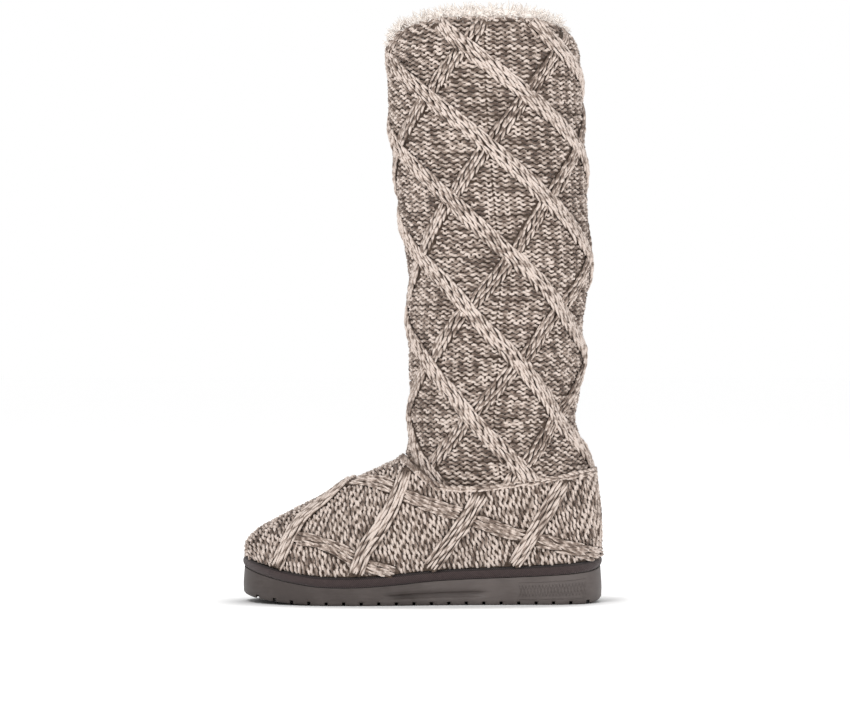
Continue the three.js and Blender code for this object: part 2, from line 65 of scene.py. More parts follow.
MM = 0.001
TURN = 2 * math.pi
BODY = "root"

# Driving dimensions, the same as the solids have.
SOLE_LENGTH = 270.0
BALL_WIDTH = 100.0
WAIST_WIDTH = 79.0
HEEL_WIDTH = 76.0
PLATFORM_HEIGHT = 7.4
INSOLE_THICKNESS = 4.0
WALL = 3.0
GAP = 0.35
RIM_HEIGHT = 436.0
RIM_DIP = 8.0
CIRCUMFERENCE = 368.0
COLUMNS_ROUND = 10
RIDGE_LEAN = math.radians(72)


class Side(Enum):
    """Side of the foot, as the sign of Y."""

    OUTER = -1
    INNER = 1


class Slant(Enum):
    """Way a band runs in side view on the outer side, as the sign of the row in its number."""

    TO_HEEL = 1
    TO_TOE = -1


def along(places: Sequence[float], values: Array, at: Array) -> Array:
    """Reads a column of a table between its rows, on a smooth curve through them.

    Args:
        places: Rising places of the rows.
        values: Value of each row, or a row of values for each place in at.
        at: Places to read.

    Returns:
        The value at each place.
    """
    steps = np.asarray(places, float)
    at = np.clip(np.asarray(at, float), steps[0], steps[-1])
    column = np.asarray(values, float)
    if column.ndim == 1:
        column = column.reshape((-1,) + (1,) * at.ndim)
    column = np.broadcast_to(column, (len(steps),) + at.shape)
    order = np.arange(len(steps))
    before = np.maximum(order - 1, 0)
    after = np.minimum(order + 1, len(steps) - 1)
    run = (steps[after] - steps[before]).reshape((-1,) + (1,) * at.ndim)
    slopes = (column[after] - column[before]) / run
    i = np.searchsorted(steps[1:-1], at, side="left")

    def pick(table: Array, index: Array) -> Array:
        """Value of each place's own row."""
        return np.take_along_axis(table, index[None], axis=0)[0]

    span = steps[i + 1] - steps[i]
    t = (at - steps[i]) / span
    start = pick(column, i)
    rise = pick(column, i + 1) - start
    start_pull = pick(slopes, i) * span - rise
    end_pull = rise - pick(slopes, i + 1) * span
    return start + rise * t + t * (1 - t) * (start_pull * (1 - t) + end_pull * t)


@dataclass(frozen=True)
class Table:
    """Rows of named columns that are read along the first column."""

    columns: tuple[str, ...]
    rows: tuple[tuple[float, ...], ...]

    def column(self, name: str) -> Array:
        """Values of one column."""
        return np.array([row[self.columns.index(name)] for row in self.rows])

    def at(self, name: str, place: Array) -> Array:
        """Value of one column at places along the first column."""
        return along(self.column(self.columns[0]), self.column(name), place)

    def straight(self, name: str, place: Array) -> Array:
        """Value of one column at places, on straight lines between the rows."""
        return np.interp(place, self.column(self.columns[0]), self.column(name))


SOLE_ROWS = Table(("x", "featherline", "clearance"), (
    (-135, 34.9, 6.5), (-123, 30.6, 3.8), (-113, 27.8, 2.6), (-104, 25.7, 1.7), (-95, 24.0, 1.0),
    (-77, 21.6, 0), (-50, 21.2, 0), (-22, 22.9, 0), (2, 25.3, 0), (23, 26.7, 0), (69, 28.4, 0),
    (107, 30.3, 0), (118, 31.3, 0), (127, 32.6, 0.8), (135, 35.4, 3),
))
BEND_ROWS = Table(("x", "bend"), (
    (-135, 5.1), (-92, 2.3), (-55, -0.9), (-15, -2.9), (25, -2.5), (80, -1.1), (135, -0.9),
))
FOOT_RINGS = Table(
    ("ring", "front_x", "front_z", "back_x", "back_z", "ball", "waist", "heel", "nose", "tail", "sag"),
    (
        (0, -132.6, 35.2, 132.8, 35.6, 47.4, 37.4, 35.6, 0.27, 0.16, 1),
        (1, -132.2, 45, 134, 50, 47, 39, 37.4, 0.28, 0.18, 0.85),
        (2, -123.5, 54.2, 133.8, 61, 44.4, 40.2, 38.4, 0.3, 0.22, 0.65),
        (3, -105, 64.4, 133.2, 70, 42, 41, 39, 0.35, 0.28, 0.45),
        (4, -80, 76.8, 132.4, 78, 40, 41.6, 39.8, 0.42, 0.36, 0.25),
        (5, -56, 89, 131.4, 85.5, 41, 42.4, 41, 0.48, 0.44, 0.1),
        (6, -34, 99.2, 130.6, 91.5, 42.6, 43.4, 42.4, 0.5, 0.5, 0),
        (7, -18, 106.6, 130, 97, 43.8, 44.4, 43.8, 0.5, 0.5, 0),
        (8, -9, 114.6, 129, 105, 44.6, 44.6, 44.6, 0.5, 0.5, 0),
    ),
)
TOP_RING = 8
SHAFT_ROWS = Table(("height", "front", "back", "half"), (
    (70, -11.4, 127.6, 42), (92, -11.4, 127.2, 42.6), (104, -11.2, 125, 43.4),
    (115, -10.2, 121.8, 44), (129, -7.6, 115.6, 44.4), (140, -8, 113.6, 44.8),
    (155, -7.4, 116.6, 45.2), (172, -8.4, 118.4, 45.6), (188, -8.4, 121, 46),
    (206, -9.6, 119, 46), (237, -7.8, 123.4, 46), (256, -10, 125, 46), (278, -13.4, 123.4, 46),
    (305, -17, 122.4, 46), (346, -21.6, 120.6, 46), (383, -24.4, 118.4, 46),
    (408, -24.4, 117.2, 46), (420, -23.8, 116.4, 45.4), (428, -21.6, 114.2, 43.4),
    (433, -18.6, 111.2, 40.6), (RIM_HEIGHT, -15, 107.6, 37.2),
))
LATTICE_ROWS = Table(("row", "height", "turn"), (
    (-1, 61, 14), (0, 100.4, 16.5), (1, 140, 17.6), (2, 179.5, 16.6), (3, 220, 13.6),
    (4, 259, 9.4), (5, 301, 4), (6, 341, -1), (7, 378.5, -7), (8, 414.8, -15), (9, 452, -23),
))
SEAM_LINE = Table(("x", "z"), (
    (-150, 160), (-30, 160), (-17, 112), (-9, 103.5), (2, 95), (13, 88), (28, 86.4), (43, 87),
    (80, 91.6), (108, 96.2), (124, 98.6), (150, 101),
))
OUTSOLE_LEVELS = Table(("level", "inset", "channel"), (
    (0, 1.6, 0), (0.07, 0.2, 0), (0.3, 0, 0), (0.36, 0, 2), (0.5, 0.1, 2.3), (0.56, 0.2, 0),
    (1, 0.9, 0),
))
PLATFORM_LEVELS = Table(("level", "inset"), ((0, 1.4), (0.2, 0.2), (0.5, -0.3), (0.82, 0.3), (1, 1.6)))
INSOLE_LEVELS = Table(("level", "inset"), ((0, 0.3), (0.3, 0), (0.75, 0.1), (0.93, 0.5), (1, 1.2)))
FUR_SECTION = Table(("place", "inset", "height"), (
    (0, 3.6, 404), (1, 3.6, 420), (2, 3.6, 432), (3, 3.4, 436.4), (4, 1.6, 437.6), (5, 2.4, 441),
    (6, 6.6, 443), (7, 11, 438.6), (8, 13, 426), (9, 10, 408),
))


def lerp(start: Array, end: Array, t: Array) -> Array:
    """Point between two ends."""
    return start + (end - start) * t


def smoothstep(at: Array, low: float, high: float) -> Array:
    """Soft step from 0 at low to 1 at high."""
    t = np.clip((at - low) / (high - low), 0, 1)
    return t * t * (3 - 2 * t)


def unit(vectors: Array) -> Array:
    """Vectors of length 1."""
    return vectors / np.maximum(np.linalg.norm(vectors, axis=-1, keepdims=True), 1e-9)


def lengths_along(points: Array) -> Array:
    """Length from the first point of a line, or of each row of a grid, to each of its points."""
    steps = np.linalg.norm(np.diff(points, axis=-2), axis=-1)
    return np.insert(np.cumsum(steps, axis=-1), 0, 0, axis=-1)


def end_round(share: Array) -> Array:
    """Rounding of an outline's end, 0 at the tip and 1 from the end of the rounded stretch on."""
    power = 2.2
    return (1 - np.clip(1 - share, 0, 1) ** power) ** (1 / power)


@dataclass(frozen=True)
class Outline:
    """Foot outline between a front and a back point, with its half-widths and rounded ends."""

    front_x: Array
    back_x: Array
    ball: Array
    waist: Array
    heel: Array
    nose: Array
    tail: Array

    def point(self, angle: Array) -> tuple[Array, Array, Array]:
        """Place on the outline.

        Args:
            angle: 0 at the toe tip, then along the outer side to half a turn at the heel.

        Returns:
            Share of the length, x and y.
        """
        s = (1 - np.cos(angle)) / 2
        halves = np.stack([
            np.broadcast_to(width, s.shape)
            for width in (self.ball, self.ball, self.waist, self.heel, self.heel)
        ])
        half = along((0, 0.3, 0.58, 0.86, 1), halves, s)
        half = half * end_round(s / self.nose) * end_round((1 - s) / self.tail)
        x = lerp(self.front_x, self.back_x, s)
        side = np.where(np.sin(angle) >= 0, Side.OUTER.value, Side.INNER.value)
        return s, x, BEND_ROWS.at("bend", x) + side * half


def sole_outline(inset: Array) -> Outline:
    """Outline of the sole, set in by an inset."""
    return Outline(
        -SOLE_LENGTH / 2 + inset, SOLE_LENGTH / 2 - inset, BALL_WIDTH / 2 - inset,
        WAIST_WIDTH / 2 - inset, HEEL_WIDTH / 2 - inset, 0.27, 0.16,
    )


def featherline(x: Array) -> Array:
    """Height of the line where the upper meets the platform."""
    return SOLE_ROWS.at("featherline", x)


def clearance(x: Array) -> Array:
    """Height of the outsole's underside above the floor."""
    return np.maximum(SOLE_ROWS.at("clearance", x), 0)


def above_seam(points: Array, margin: float = 0.0) -> Array:
    """Which points lie above the ankle seam, or above the seam moved up by a margin."""
    return points[..., 2] > SEAM_LINE.straight("z", points[..., 0]) + margin


@dataclass
class OvalArc:
    """Angles round ovals by share of their circumference, tabled by length over width."""

    steps: int = 180
    ratios: Array = field(default_factory=lambda: np.linspace(1.1, 1.8, 36))

    def __post_init__(self) -> None:
        """Works out the table once."""
        edges = np.linspace(0, TURN, self.steps + 1)
        middles = (edges[1:] + edges[:-1]) / 2
        even = np.linspace(0, 1, self.steps + 1)
        rows = []
        for ratio in self.ratios:
            lengths = np.hypot(ratio * np.cos(middles), np.sin(middles))
            shares = np.concatenate([[0], np.cumsum(lengths)]) / lengths.sum()
            rows.append(np.interp(even, shares, edges))
        self.angles = np.stack(rows)

    def angle(self, ratio: Array, share: Array) -> Array:
        """Angle at a share of the way round, from the middle of the outer side.

        Args:
            ratio: Half the oval's length over half its width.
            share: Share of the circumference, which may run past a whole turn.

        Returns:
            The angle in radians, with its whole turns.
        """
        ratio, share = np.broadcast_arrays(ratio, share)
        turns = np.floor(share)
        column = (share - turns) * self.steps
        row = (ratio - self.ratios[0]) / (self.ratios[1] - self.ratios[0])
        i = np.clip(column.astype(int), 0, self.steps - 1)
        j = np.clip(row.astype(int), 0, len(self.ratios) - 2)
        u = column - i
        v = row - j
        low = lerp(self.angles[j, i], self.angles[j, i + 1], u)
        high = lerp(self.angles[j + 1, i], self.angles[j + 1, i + 1], u)
        return TURN * turns + lerp(low, high, v)


@dataclass
class ShaftForm:
    """Skin of the shaft and the lattice of bands on it."""

    oval: OvalArc = field(default_factory=OvalArc)
    over_rise: float = 3.2
    under_rise: float = 2.3
    band_foot: float = 0.2
    band_shoulder: float = 0.11
    dip_from: float = 395.0
    dip_full_below: float = 6.0
    row_steps: int = 401

    def point(self, height: Array, share: Array, outset: Array) -> Array:
        """Point of the shaft.

        Args:
            height: Height before the rim's dip.
            share: Share of the way round, from the middle of the outer side towards the heel.
            outset: Distance out from the skin.

        Returns:
            Points, three numbers each.
        """
        height, share, outset = np.broadcast_arrays(
            np.asarray(height, float), np.asarray(share, float), np.asarray(outset, float))
        front = SHAFT_ROWS.at("front", height)
        back = SHAFT_ROWS.at("back", height)
        half = SHAFT_ROWS.at("half", height)
        long = (back - front) / 2
        angle = self.oval.angle(long / half, share)
        drop = RIM_DIP * np.sin(angle) ** 4 * smoothstep(
            height, self.dip_from, RIM_HEIGHT - self.dip_full_below)
        return np.stack([
            (front + back) / 2 + (long + outset) * np.sin(angle),
            -(half + outset) * np.cos(angle),
            height - drop,
        ], axis=-1)

    def profile(self, offset: Array) -> Array:
        """Height of a band across it, from 0 at its foot to 1 on its shoulder."""
        nearest = np.abs(offset - 2 * np.round(offset / 2))
        return np.clip((self.band_foot - nearest) / (self.band_foot - self.band_shoulder), 0, 1)

    def rise(self, height: Array, share: Array) -> Array:
        """How far the lattice stands out at a height and a share of the way round."""
        first, *_, last = LATTICE_ROWS.column("row")
        rows = np.linspace(first, last, self.row_steps)
        r = np.interp(height, LATTICE_ROWS.at("height", rows), rows)
        c = COLUMNS_ROUND * (share - LATTICE_ROWS.at("turn", r) / CIRCUMFERENCE)
        return np.maximum(self.over_rise * self.profile(c + r), self.under_rise * self.profile(c - r))

    def lattice(self, c: Array, r: Array) -> tuple[Array, Array]:
        """Height and share of the way round at a column and a row of the lattice."""
        return (LATTICE_ROWS.at("height", r),
                c / COLUMNS_ROUND + LATTICE_ROWS.at("turn", r) / CIRCUMFERENCE)


@dataclass
class FootForm:
    """Skin of the foot, by ring number from the featherline up and angle round the outline."""

    step: float = 0.02

    def skin(self, ring: Array, angle: Array) -> Array:
        """Points of the skin at ring numbers and angles."""
        ring, angle = np.broadcast_arrays(np.asarray(ring, float), np.asarray(angle, float))
        row = {name: FOOT_RINGS.at(name, ring) for name in FOOT_RINGS.columns[1:]}
        outline = Outline(**{each.name: row[each.name] for each in fields(Outline)})
        s, x, y = outline.point(angle)
        first = dict(zip(FOOT_RINGS.columns, FOOT_RINGS.rows[0]))
        dip = featherline(lerp(first["front_x"], first["back_x"], s)) - lerp(
            first["front_z"], first["back_z"], s)
        return np.stack([x, y, lerp(row["front_z"], row["back_z"], s) + row["sag"] * dip], axis=-1)

    def normal(self, ring: Array, angle: Array) -> Array:
        """Outward directions of the skin."""
        around = self.skin(ring, angle + self.step) - self.skin(ring, angle - self.step)
        up = self.skin(np.minimum(ring + self.step, TOP_RING), angle) - self.skin(
            np.maximum(ring - self.step, 0), angle)
        return unit(np.cross(around, up))

    def point(self, ring: Array, angle: Array, outset: Array) -> Array:
        """Points set out from the skin."""
        return self.skin(ring, angle) + self.normal(ring, angle) * np.asarray(outset)[..., None]

    def place(self, x: Array, z: Array, side: Side) -> tuple[Array, Array]:
        """Ring numbers and angles where side view shows points of the skin.

        Args:
            x: Places along the foot.
            z: Heights.
            side: Side of the foot that is looked at.

        Returns:
            Ring numbers, and angles that are negative on the inner side.
        """
        def angle_at(ring: Array) -> Array:
            """Angle at which a ring passes the place x."""
            front = FOOT_RINGS.at("front_x", ring)
            s = np.clip((x - front) / (FOOT_RINGS.at("back_x", ring) - front), 0, 1)
            return -side.value * np.arccos(1 - 2 * s)

        def is_above(ring: Array) -> Array:
            """Rings that lie above the points or in front of them."""
            return (self.skin(ring, angle_at(ring))[..., 2] > z) | (FOOT_RINGS.at("front_x", ring) > x)

        ring = self.highest_below(x, is_above, 26)
        return ring, angle_at(ring)

    def seam_ring(self, angle: Array) -> Array:
        """Ring number at which the ankle seam crosses each angle."""
        return self.highest_below(angle, lambda ring: above_seam(self.skin(ring, angle)), 24)

    def highest_below(self, places: Array, is_above: Callable[[Array], Array], halvings: int) -> Array:
        """Highest ring numbers that don't lie above a line, found by halving.

        Args:
            places: One number for each ring number wanted, to tell how many there are.
            is_above: Says of ring numbers which of them lie above the line.
            halvings: How many times the stretch that is searched is halved.

        Returns:
            The ring numbers.
        """
        low = np.zeros_like(places)
        high = np.full_like(places, TOP_RING)
        for _ in range(halvings):
            middle = (low + high) / 2
            above = is_above(middle)
            high = np.where(above, middle, high)
            low = np.where(above, low, middle)
        return low


SHAFT = ShaftForm()
FOOT = FootForm()


def linear(colour: Colour) -> tuple[float, float, float, float]:
    """Colour of 0 to 255 as the linear numbers a shader takes."""
    shares = (channel / 255 for channel in colour)
    return tuple(c / 12.92 if c <= 0.04045 else ((c + 0.055) / 1.055) ** 2.4 for c in shares) + (1.0,)


class Nodes:
    """A node tree with short ways to add to it."""

    def __init__(self, tree: bpy.types.NodeTree) -> None:
        """Takes the tree that the nodes go into."""
        self.tree = tree

    def feed(self, socket: bpy.types.NodeSocket, value: object) -> None:
        """Links a socket into an input, or sets its value."""
        if isinstance(value, bpy.types.NodeSocket):
            self.tree.links.new(value, socket)
        else:
            socket.default_value = value

    def node(self, kind: str, inputs: dict[str | int, object] | None = None,
             **properties: object) -> bpy.types.Node:
        """Adds a node.

        Args:
            kind: Blender's name of the node.
            inputs: Values or sockets by the name or index of the input.
            properties: Properties that are set before the inputs.

        Returns:
            The node.
        """
        made = self.tree.nodes.new(kind)
        for name, value in properties.items():
            setattr(made, name, value)
        for key, value in (inputs or {}).items():
            self.feed(made.inputs[key], value)
        return made

    def maths(self, operation: str, *values: object) -> bpy.types.NodeSocket:
        """Result of a Math node on one to three values."""
        return self.node("ShaderNodeMath", dict(enumerate(values)), operation=operation).outputs[0]


class Shader(Nodes):
    """A material's node tree, built up from its Principled surface."""

    def __init__(self, name: str, roughness: float, sheen: float, specular: float) -> None:
        """Starts a material.

        Args:
            name: Name of the finish.
            roughness: Roughness of the whole surface.
            sheen: Weight of the sheen.
            specular: Specular level.
        """
        self.material = bpy.data.materials.new(name)
        self.material.use_nodes = True
        super().__init__(self.material.node_tree)
        self.surface = self.tree.nodes["Principled BSDF"]
        self.cover({"Roughness": roughness, "Sheen Weight": sheen, "Sheen Roughness": 0.5,
                    "Specular IOR Level": specular})
        self.place = self.node("ShaderNodeTexCoord").outputs["Object"]

    def cover(self, inputs: dict[str, object]) -> None:
        """Feeds named inputs of the surface."""
        for name, value in inputs.items():
            self.feed(self.surface.inputs[name], value)

    def stretched(self, scale: Sequence[float], turn: float = 0.0) -> bpy.types.NodeSocket:
        """Object place, turned about Y and then scaled along each axis."""
        turned = self.node("ShaderNodeMapping", {"Vector": self.place, "Rotation": (0, turn, 0)})
        return self.node("ShaderNodeMapping", {"Vector": turned.outputs[0], "Scale": scale}).outputs[0]

    def noise(self, place: bpy.types.NodeSocket, scale: float, detail: float = 2) -> bpy.types.NodeSocket:
        """Factor of a noise texture."""
        return self.node(
            "ShaderNodeTexNoise", {"Vector": place, "Scale": scale, "Detail": detail}).outputs[0]

    def grain(self, scale: Sequence[float], detail: float, turn: float = 0.0) -> bpy.types.NodeSocket:
        """Factor of a noise texture that is stretched along the axes."""
        return self.noise(self.stretched(scale, turn), 1.0, detail)

    def attribute(self, name: str, output: str) -> bpy.types.NodeSocket:
        """Output of a mesh attribute."""
        return self.node("ShaderNodeAttribute", attribute_name=name).outputs[output]

    def ramp(self, factor: bpy.types.NodeSocket, *stops: tuple[float, Colour]) -> bpy.types.NodeSocket:
        """Colour from a factor, through stops of place and colour."""
        made = self.node("ShaderNodeValToRGB", {"Fac": factor})
        stretch = made.color_ramp.elements
        while len(stretch) < len(stops):
            stretch.new(0.5)
        for element, (place, colour) in zip(stretch, stops):
            element.position = place
            element.color = linear(colour)
        return made.outputs[0]

    def bump(self, height: bpy.types.NodeSocket, depth: float, strength: float) -> None:
        """Bumps the surface by a height of 0 to 1, over a depth in millimetres."""
        made = self.node(
            "ShaderNodeBump", {"Height": height, "Distance": depth * MM, "Strength": strength})
        self.cover({"Normal": made.outputs[0]})

    def finish(self, colour: object) -> bpy.types.Material:
        """Sets the colour and returns the material."""
        self.cover({"Base Color": colour})
        return self.material


@dataclass(frozen=True)
class YarnFinish:
    """Marled wool yarn: a cream ply and brown plies twisted together."""

    name: str
    turn: float
    # light: painted light, a lift of the whole marl towards cream that makes a brighter copy of the yarn.
    light: float = 0.0
    cream: Colour = (221, 206, 196)
    sand: Colour = (186, 170, 159)
    taupe: Colour = (143, 126, 115)
    brown: Colour = (99, 83, 74)
    ply_pitch: float = 14.0
    ply_weight: float = 0.26
    middle: float = 0.53
    patch_grain: tuple[float, float, float] = (30, 30, 230)
    patch_weight: float = 1.05
    speck_grain: tuple[float, float, float] = (120, 120, 330)
    speck_weight: float = 0.7
    tone_weight: float = 0.22
    fibre_scale: float = 2600.0

    def material(self) -> bpy.types.Material:
        """Makes the yarn's material.

        Returns:
            A material that reads the mesh attributes along, around and tone.
        """
        shader = Shader(self.name, roughness=0.92, sheen=0.25, specular=0.18)
        phase = shader.maths("MULTIPLY", shader.attribute("along", "Fac"), TURN / self.ply_pitch)
        twist = shader.node("ShaderNodeCombineXYZ", {
            "X": shader.maths("COSINE", phase), "Y": shader.maths("SINE", phase)}).outputs[0]
        ply = shader.node("ShaderNodeVectorMath", {0: twist, 1: shader.attribute("around", "Vector")},
                          operation="DOT_PRODUCT").outputs["Value"]
        factor = shader.maths("MULTIPLY_ADD", ply, self.ply_weight, self.middle + self.light)
        for part, weight in (
            (shader.grain(self.patch_grain, 3, self.turn), self.patch_weight),
            (shader.grain(self.speck_grain, 2, self.turn), self.speck_weight),
            (shader.attribute("tone", "Fac"), self.tone_weight),
        ):
            centred = shader.maths("SUBTRACT", part, 0.5)
            factor = shader.maths("MULTIPLY_ADD", centred, weight, factor)
        fibres = shader.noise(shader.place, self.fibre_scale)
        grooves = shader.maths("MULTIPLY_ADD", shader.maths("ABSOLUTE", ply), 0.6, fibres)
        shader.bump(grooves, depth=0.25, strength=0.6)
        return shader.finish(shader.ramp(
            factor, (0.2, self.brown), (0.42, self.taupe), (0.6, self.sand), (0.78, self.cream)))


@dataclass(frozen=True)
class PaintedShadeFinish:
    """Dark inner side of the knit, which shows between the stitches: painted shade that stands for the
    shade there.
    """

    name: str
    # dark and light: the tones of the painted shade, mixed by a noise stretched along the rows.
    dark: Colour = (84, 70, 61)
    light: Colour = (130, 114, 102)
    rows: tuple[float, float, float] = (90, 90, 280)
    fibre_scale: float = 900.0

    def material(self) -> bpy.types.Material:
        """Makes the painted-shade material of the knit's depth."""
        shader = Shader(self.name, roughness=0.95, sheen=0.1, specular=0.1)
        shader.bump(shader.noise(shader.place, self.fibre_scale), depth=0.5, strength=0.7)
        rows = shader.grain(self.rows, 2)
        return shader.finish(shader.ramp(rows, (0.35, self.dark), (0.75, self.light)))


@dataclass(frozen=True)
class FleeceFinish:
    """Cream-white pile of the collar, the lining and the insole; its glow is painted light."""

    name: str
    deep: Colour = (228, 218, 209)
    bright: Colour = (250, 243, 237)
    clump_scale: float = 260.0
    pile_scale: float = 1400.0
    # glow: painted light, an emission in the bright colour that lifts the pile out of its shade.
    glow: float = 0.0

    def material(self) -> bpy.types.Material:
        """Makes the material of the pile."""
        shader = Shader(self.name, roughness=0.95, sheen=0.6, specular=0.1)
        shader.cover({"Emission Color": linear(self.bright), "Emission Strength": self.glow})
        shader.bump(shader.noise(shader.place, self.pile_scale, 3), depth=0.6, strength=0.6)
        clumps = shader.noise(shader.place, self.clump_scale, 3)
        return shader.finish(shader.ramp(clumps, (0.3, self.deep), (0.62, self.bright)))


@dataclass(frozen=True)
class TapeFinish:
    """Woven twill tape round the platform, darker along its top edge."""

    name: str
    base: Colour = (50, 39, 39)
    ridge: Colour = (74, 61, 60)
    edge: Colour = (38, 28, 28)
    rib: float = 1.5
    wear_scale: float = 220.0
    edge_from: float = 0.8

    def material(self) -> bpy.types.Material:
        """Makes the material, which reads the piece's own UV map in millimetres."""
        shader = Shader(self.name, roughness=0.8, sheen=0.2, specular=0.3)
        own = shader.node("ShaderNodeTexCoord").outputs["UV"]
        length, height = shader.node("ShaderNodeSeparateXYZ", {"Vector": own}).outputs[:2]
        diagonal = shader.maths("MULTIPLY", shader.maths("ADD", length, height), TURN / self.rib)
        ribs = shader.maths("MULTIPLY_ADD", shader.maths("SINE", diagonal), 0.5, 0.5)
        worn = shader.noise(shader.place, self.wear_scale, 3)
        shade = shader.maths("MULTIPLY_ADD", worn, 0.5, shader.maths("MULTIPLY", ribs, 0.6))
        colour = shader.ramp(shade, (0.25, self.base), (0.85, self.ridge))
        top = shader.maths("GREATER_THAN", height, PLATFORM_HEIGHT * self.edge_from)
        mixed = shader.node("ShaderNodeMix", {0: top, 6: colour, 7: linear(self.edge)}, data_type="RGBA")
        shader.bump(ribs, depth=0.3, strength=0.8)
        return shader.finish(mixed.outputs[2])


@dataclass(frozen=True)
class RubberFinish:
    """Moulded brown-grey rubber with faint scuffs, a little lighter towards the heel."""

    name: str
    dark: Colour = (70, 62, 59)
    light: Colour = (96, 88, 85)
    cloud_scale: float = 28.0
    heelward_weight: float = 1.4
    scuff_grain: tuple[float, float, float] = (110, 110, 700)
    scuff_weight: float = 0.35
    shift: float = 0.17
    skin_scale: float = 1500.0

    def material(self) -> bpy.types.Material:
        """Makes the rubber's material."""
        shader = Shader(self.name, roughness=0.52, sheen=0.0, specular=0.4)
        heelward = shader.node("ShaderNodeSeparateXYZ", {"Vector": shader.place}).outputs[0]
        factor = shader.maths("MULTIPLY_ADD", heelward, self.heelward_weight,
                              shader.noise(shader.place, self.cloud_scale, 3))
        factor = shader.maths("MULTIPLY_ADD", shader.grain(self.scuff_grain, 4), self.scuff_weight,
                              shader.maths("SUBTRACT", factor, self.shift))
        shader.bump(shader.noise(shader.place, self.skin_scale, 3), depth=0.15, strength=0.5)
        return shader.finish(shader.ramp(factor, (0.3, self.dark), (0.75, self.light)))


class NodeTree(Nodes):
    """A Geometry Nodes tree with named inputs, and the means to run it on a mesh."""

    def __init__(self, name: str) -> None:
        """Starts an empty tree with a geometry input and output."""
        super().__init__(bpy.data.node_groups.new(name, "GeometryNodeTree"))
        for way in ("INPUT", "OUTPUT"):
            self.tree.interface.new_socket("Geometry", in_out=way, socket_type="NodeSocketGeometry")
        self.source = self.node("NodeGroupInput")
        self.result = self.node("NodeGroupOutput")

    def socket(self, name: str, kind: str) -> bpy.types.NodeSocket:
        """Adds a named input of a kind such as Float and returns its socket inside the tree."""
        self.tree.interface.new_socket(name, in_out="INPUT", socket_type=f"NodeSocket{kind}")
        return self.source.outputs[name]

    def close(self, geometry: bpy.types.NodeSocket, material: bpy.types.NodeSocket) -> None:
        """Ends the tree in realized instances with one material."""
        smooth = self.node("GeometryNodeSetShadeSmooth", {"Geometry": geometry})
        real = self.node("GeometryNodeRealizeInstances", {"Geometry": smooth.outputs[0]})
        dressed = self.node("GeometryNodeSetMaterial", {"Geometry": real.outputs[0], "Material": material})
        self.feed(self.result.inputs[0], dressed.outputs[0])

    def run(self, name: str, mesh: bpy.types.Mesh, values: dict[str, object]) -> bpy.types.Object:
        """Runs the tree on a mesh.

        Args:
            name: Name of the finished piece.
            mesh: Mesh that the tree starts from.
            values: Value of each named input.

        Returns:
            A plain mesh object at the origin, with no modifier.
        """
        carrier = linked(name + "_carrier", mesh)
        modifier = carrier.modifiers.new("nodes", "NODES")
        modifier.node_group = self.tree
        for item in self.tree.interface.items_tree:
            if item.in_out == "INPUT" and item.name in values:
                modifier[item.identifier] = values[item.name]
        made = evaluated_mesh(carrier)
        bpy.data.objects.remove(carrier)
        made.name = name
        return linked(name, made)


def linked(name: str, data: bpy.types.ID) -> bpy.types.Object:
    """Puts a mesh, a light or a camera into the scene as an object at the origin."""
    made = bpy.data.objects.new(name, data)
    bpy.context.scene.collection.objects.link(made)
    return made


def evaluated_mesh(piece: bpy.types.Object) -> bpy.types.Mesh:
    """New mesh of what an object's modifiers make of it."""
    graph = bpy.context.evaluated_depsgraph_get()
    return bpy.data.meshes.new_from_object(piece.evaluated_get(graph), depsgraph=graph)


def triangles(piece: bpy.types.Object) -> int:
    """Triangles of a piece before its modifiers."""
    return sum(len(polygon.vertices) - 2 for polygon in piece.data.polygons)


def register(piece: bpy.types.Object, slot: str, *nodes: str) -> None:
    """Lets a finished piece ride, hides the parts that it replaces, and reports it."""
    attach(piece, BODY)
    if nodes:
        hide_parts(*nodes)
    log.info("%s: %d triangles before modifiers", piece.name, triangles(piece))


def new_mesh(name: str, points: Array, faces: Sequence[Sequence[int]], flat: int = 0) -> bpy.types.Mesh:
    """Makes a mesh, shaded smooth but for its last faces.

    Args:
        name: Name of the mesh.
        points: Points in millimetres, in any grid.
        faces: Numbers of the points of each face.
        flat: How many of the last faces are shaded flat.

    Returns:
        The mesh.
    """
    made = bpy.data.meshes.new(name)
    made.from_pydata((points.reshape(-1, 3) * MM).tolist(), [], faces)
    made.polygons.foreach_set("use_smooth", [True] * (len(faces) - flat) + [False] * flat)
    made.update()
    return made


def grid_faces(rows: int, columns: int, closed: bool = True, flip: bool = False,
               first: int = 0) -> list[list[int]]:
    """Quads of a grid of points.

    Args:
        rows: Rows of the grid.
        columns: Points in a row.
        closed: Whether the last column joins the first.
        flip: Whether the faces point the other way.
        first: Number of the grid's first point.

    Returns:
        Numbers of the points of each quad.
    """
    faces = []
    for r in range(rows - 1):
        for i in range(columns if closed else columns - 1):
            corners = [(r, i), (r, i + 1), (r + 1, i + 1), (r + 1, i)]
            if flip:
                corners.reverse()
            faces.append([first + row * columns + column % columns for row, column in corners])
    return faces


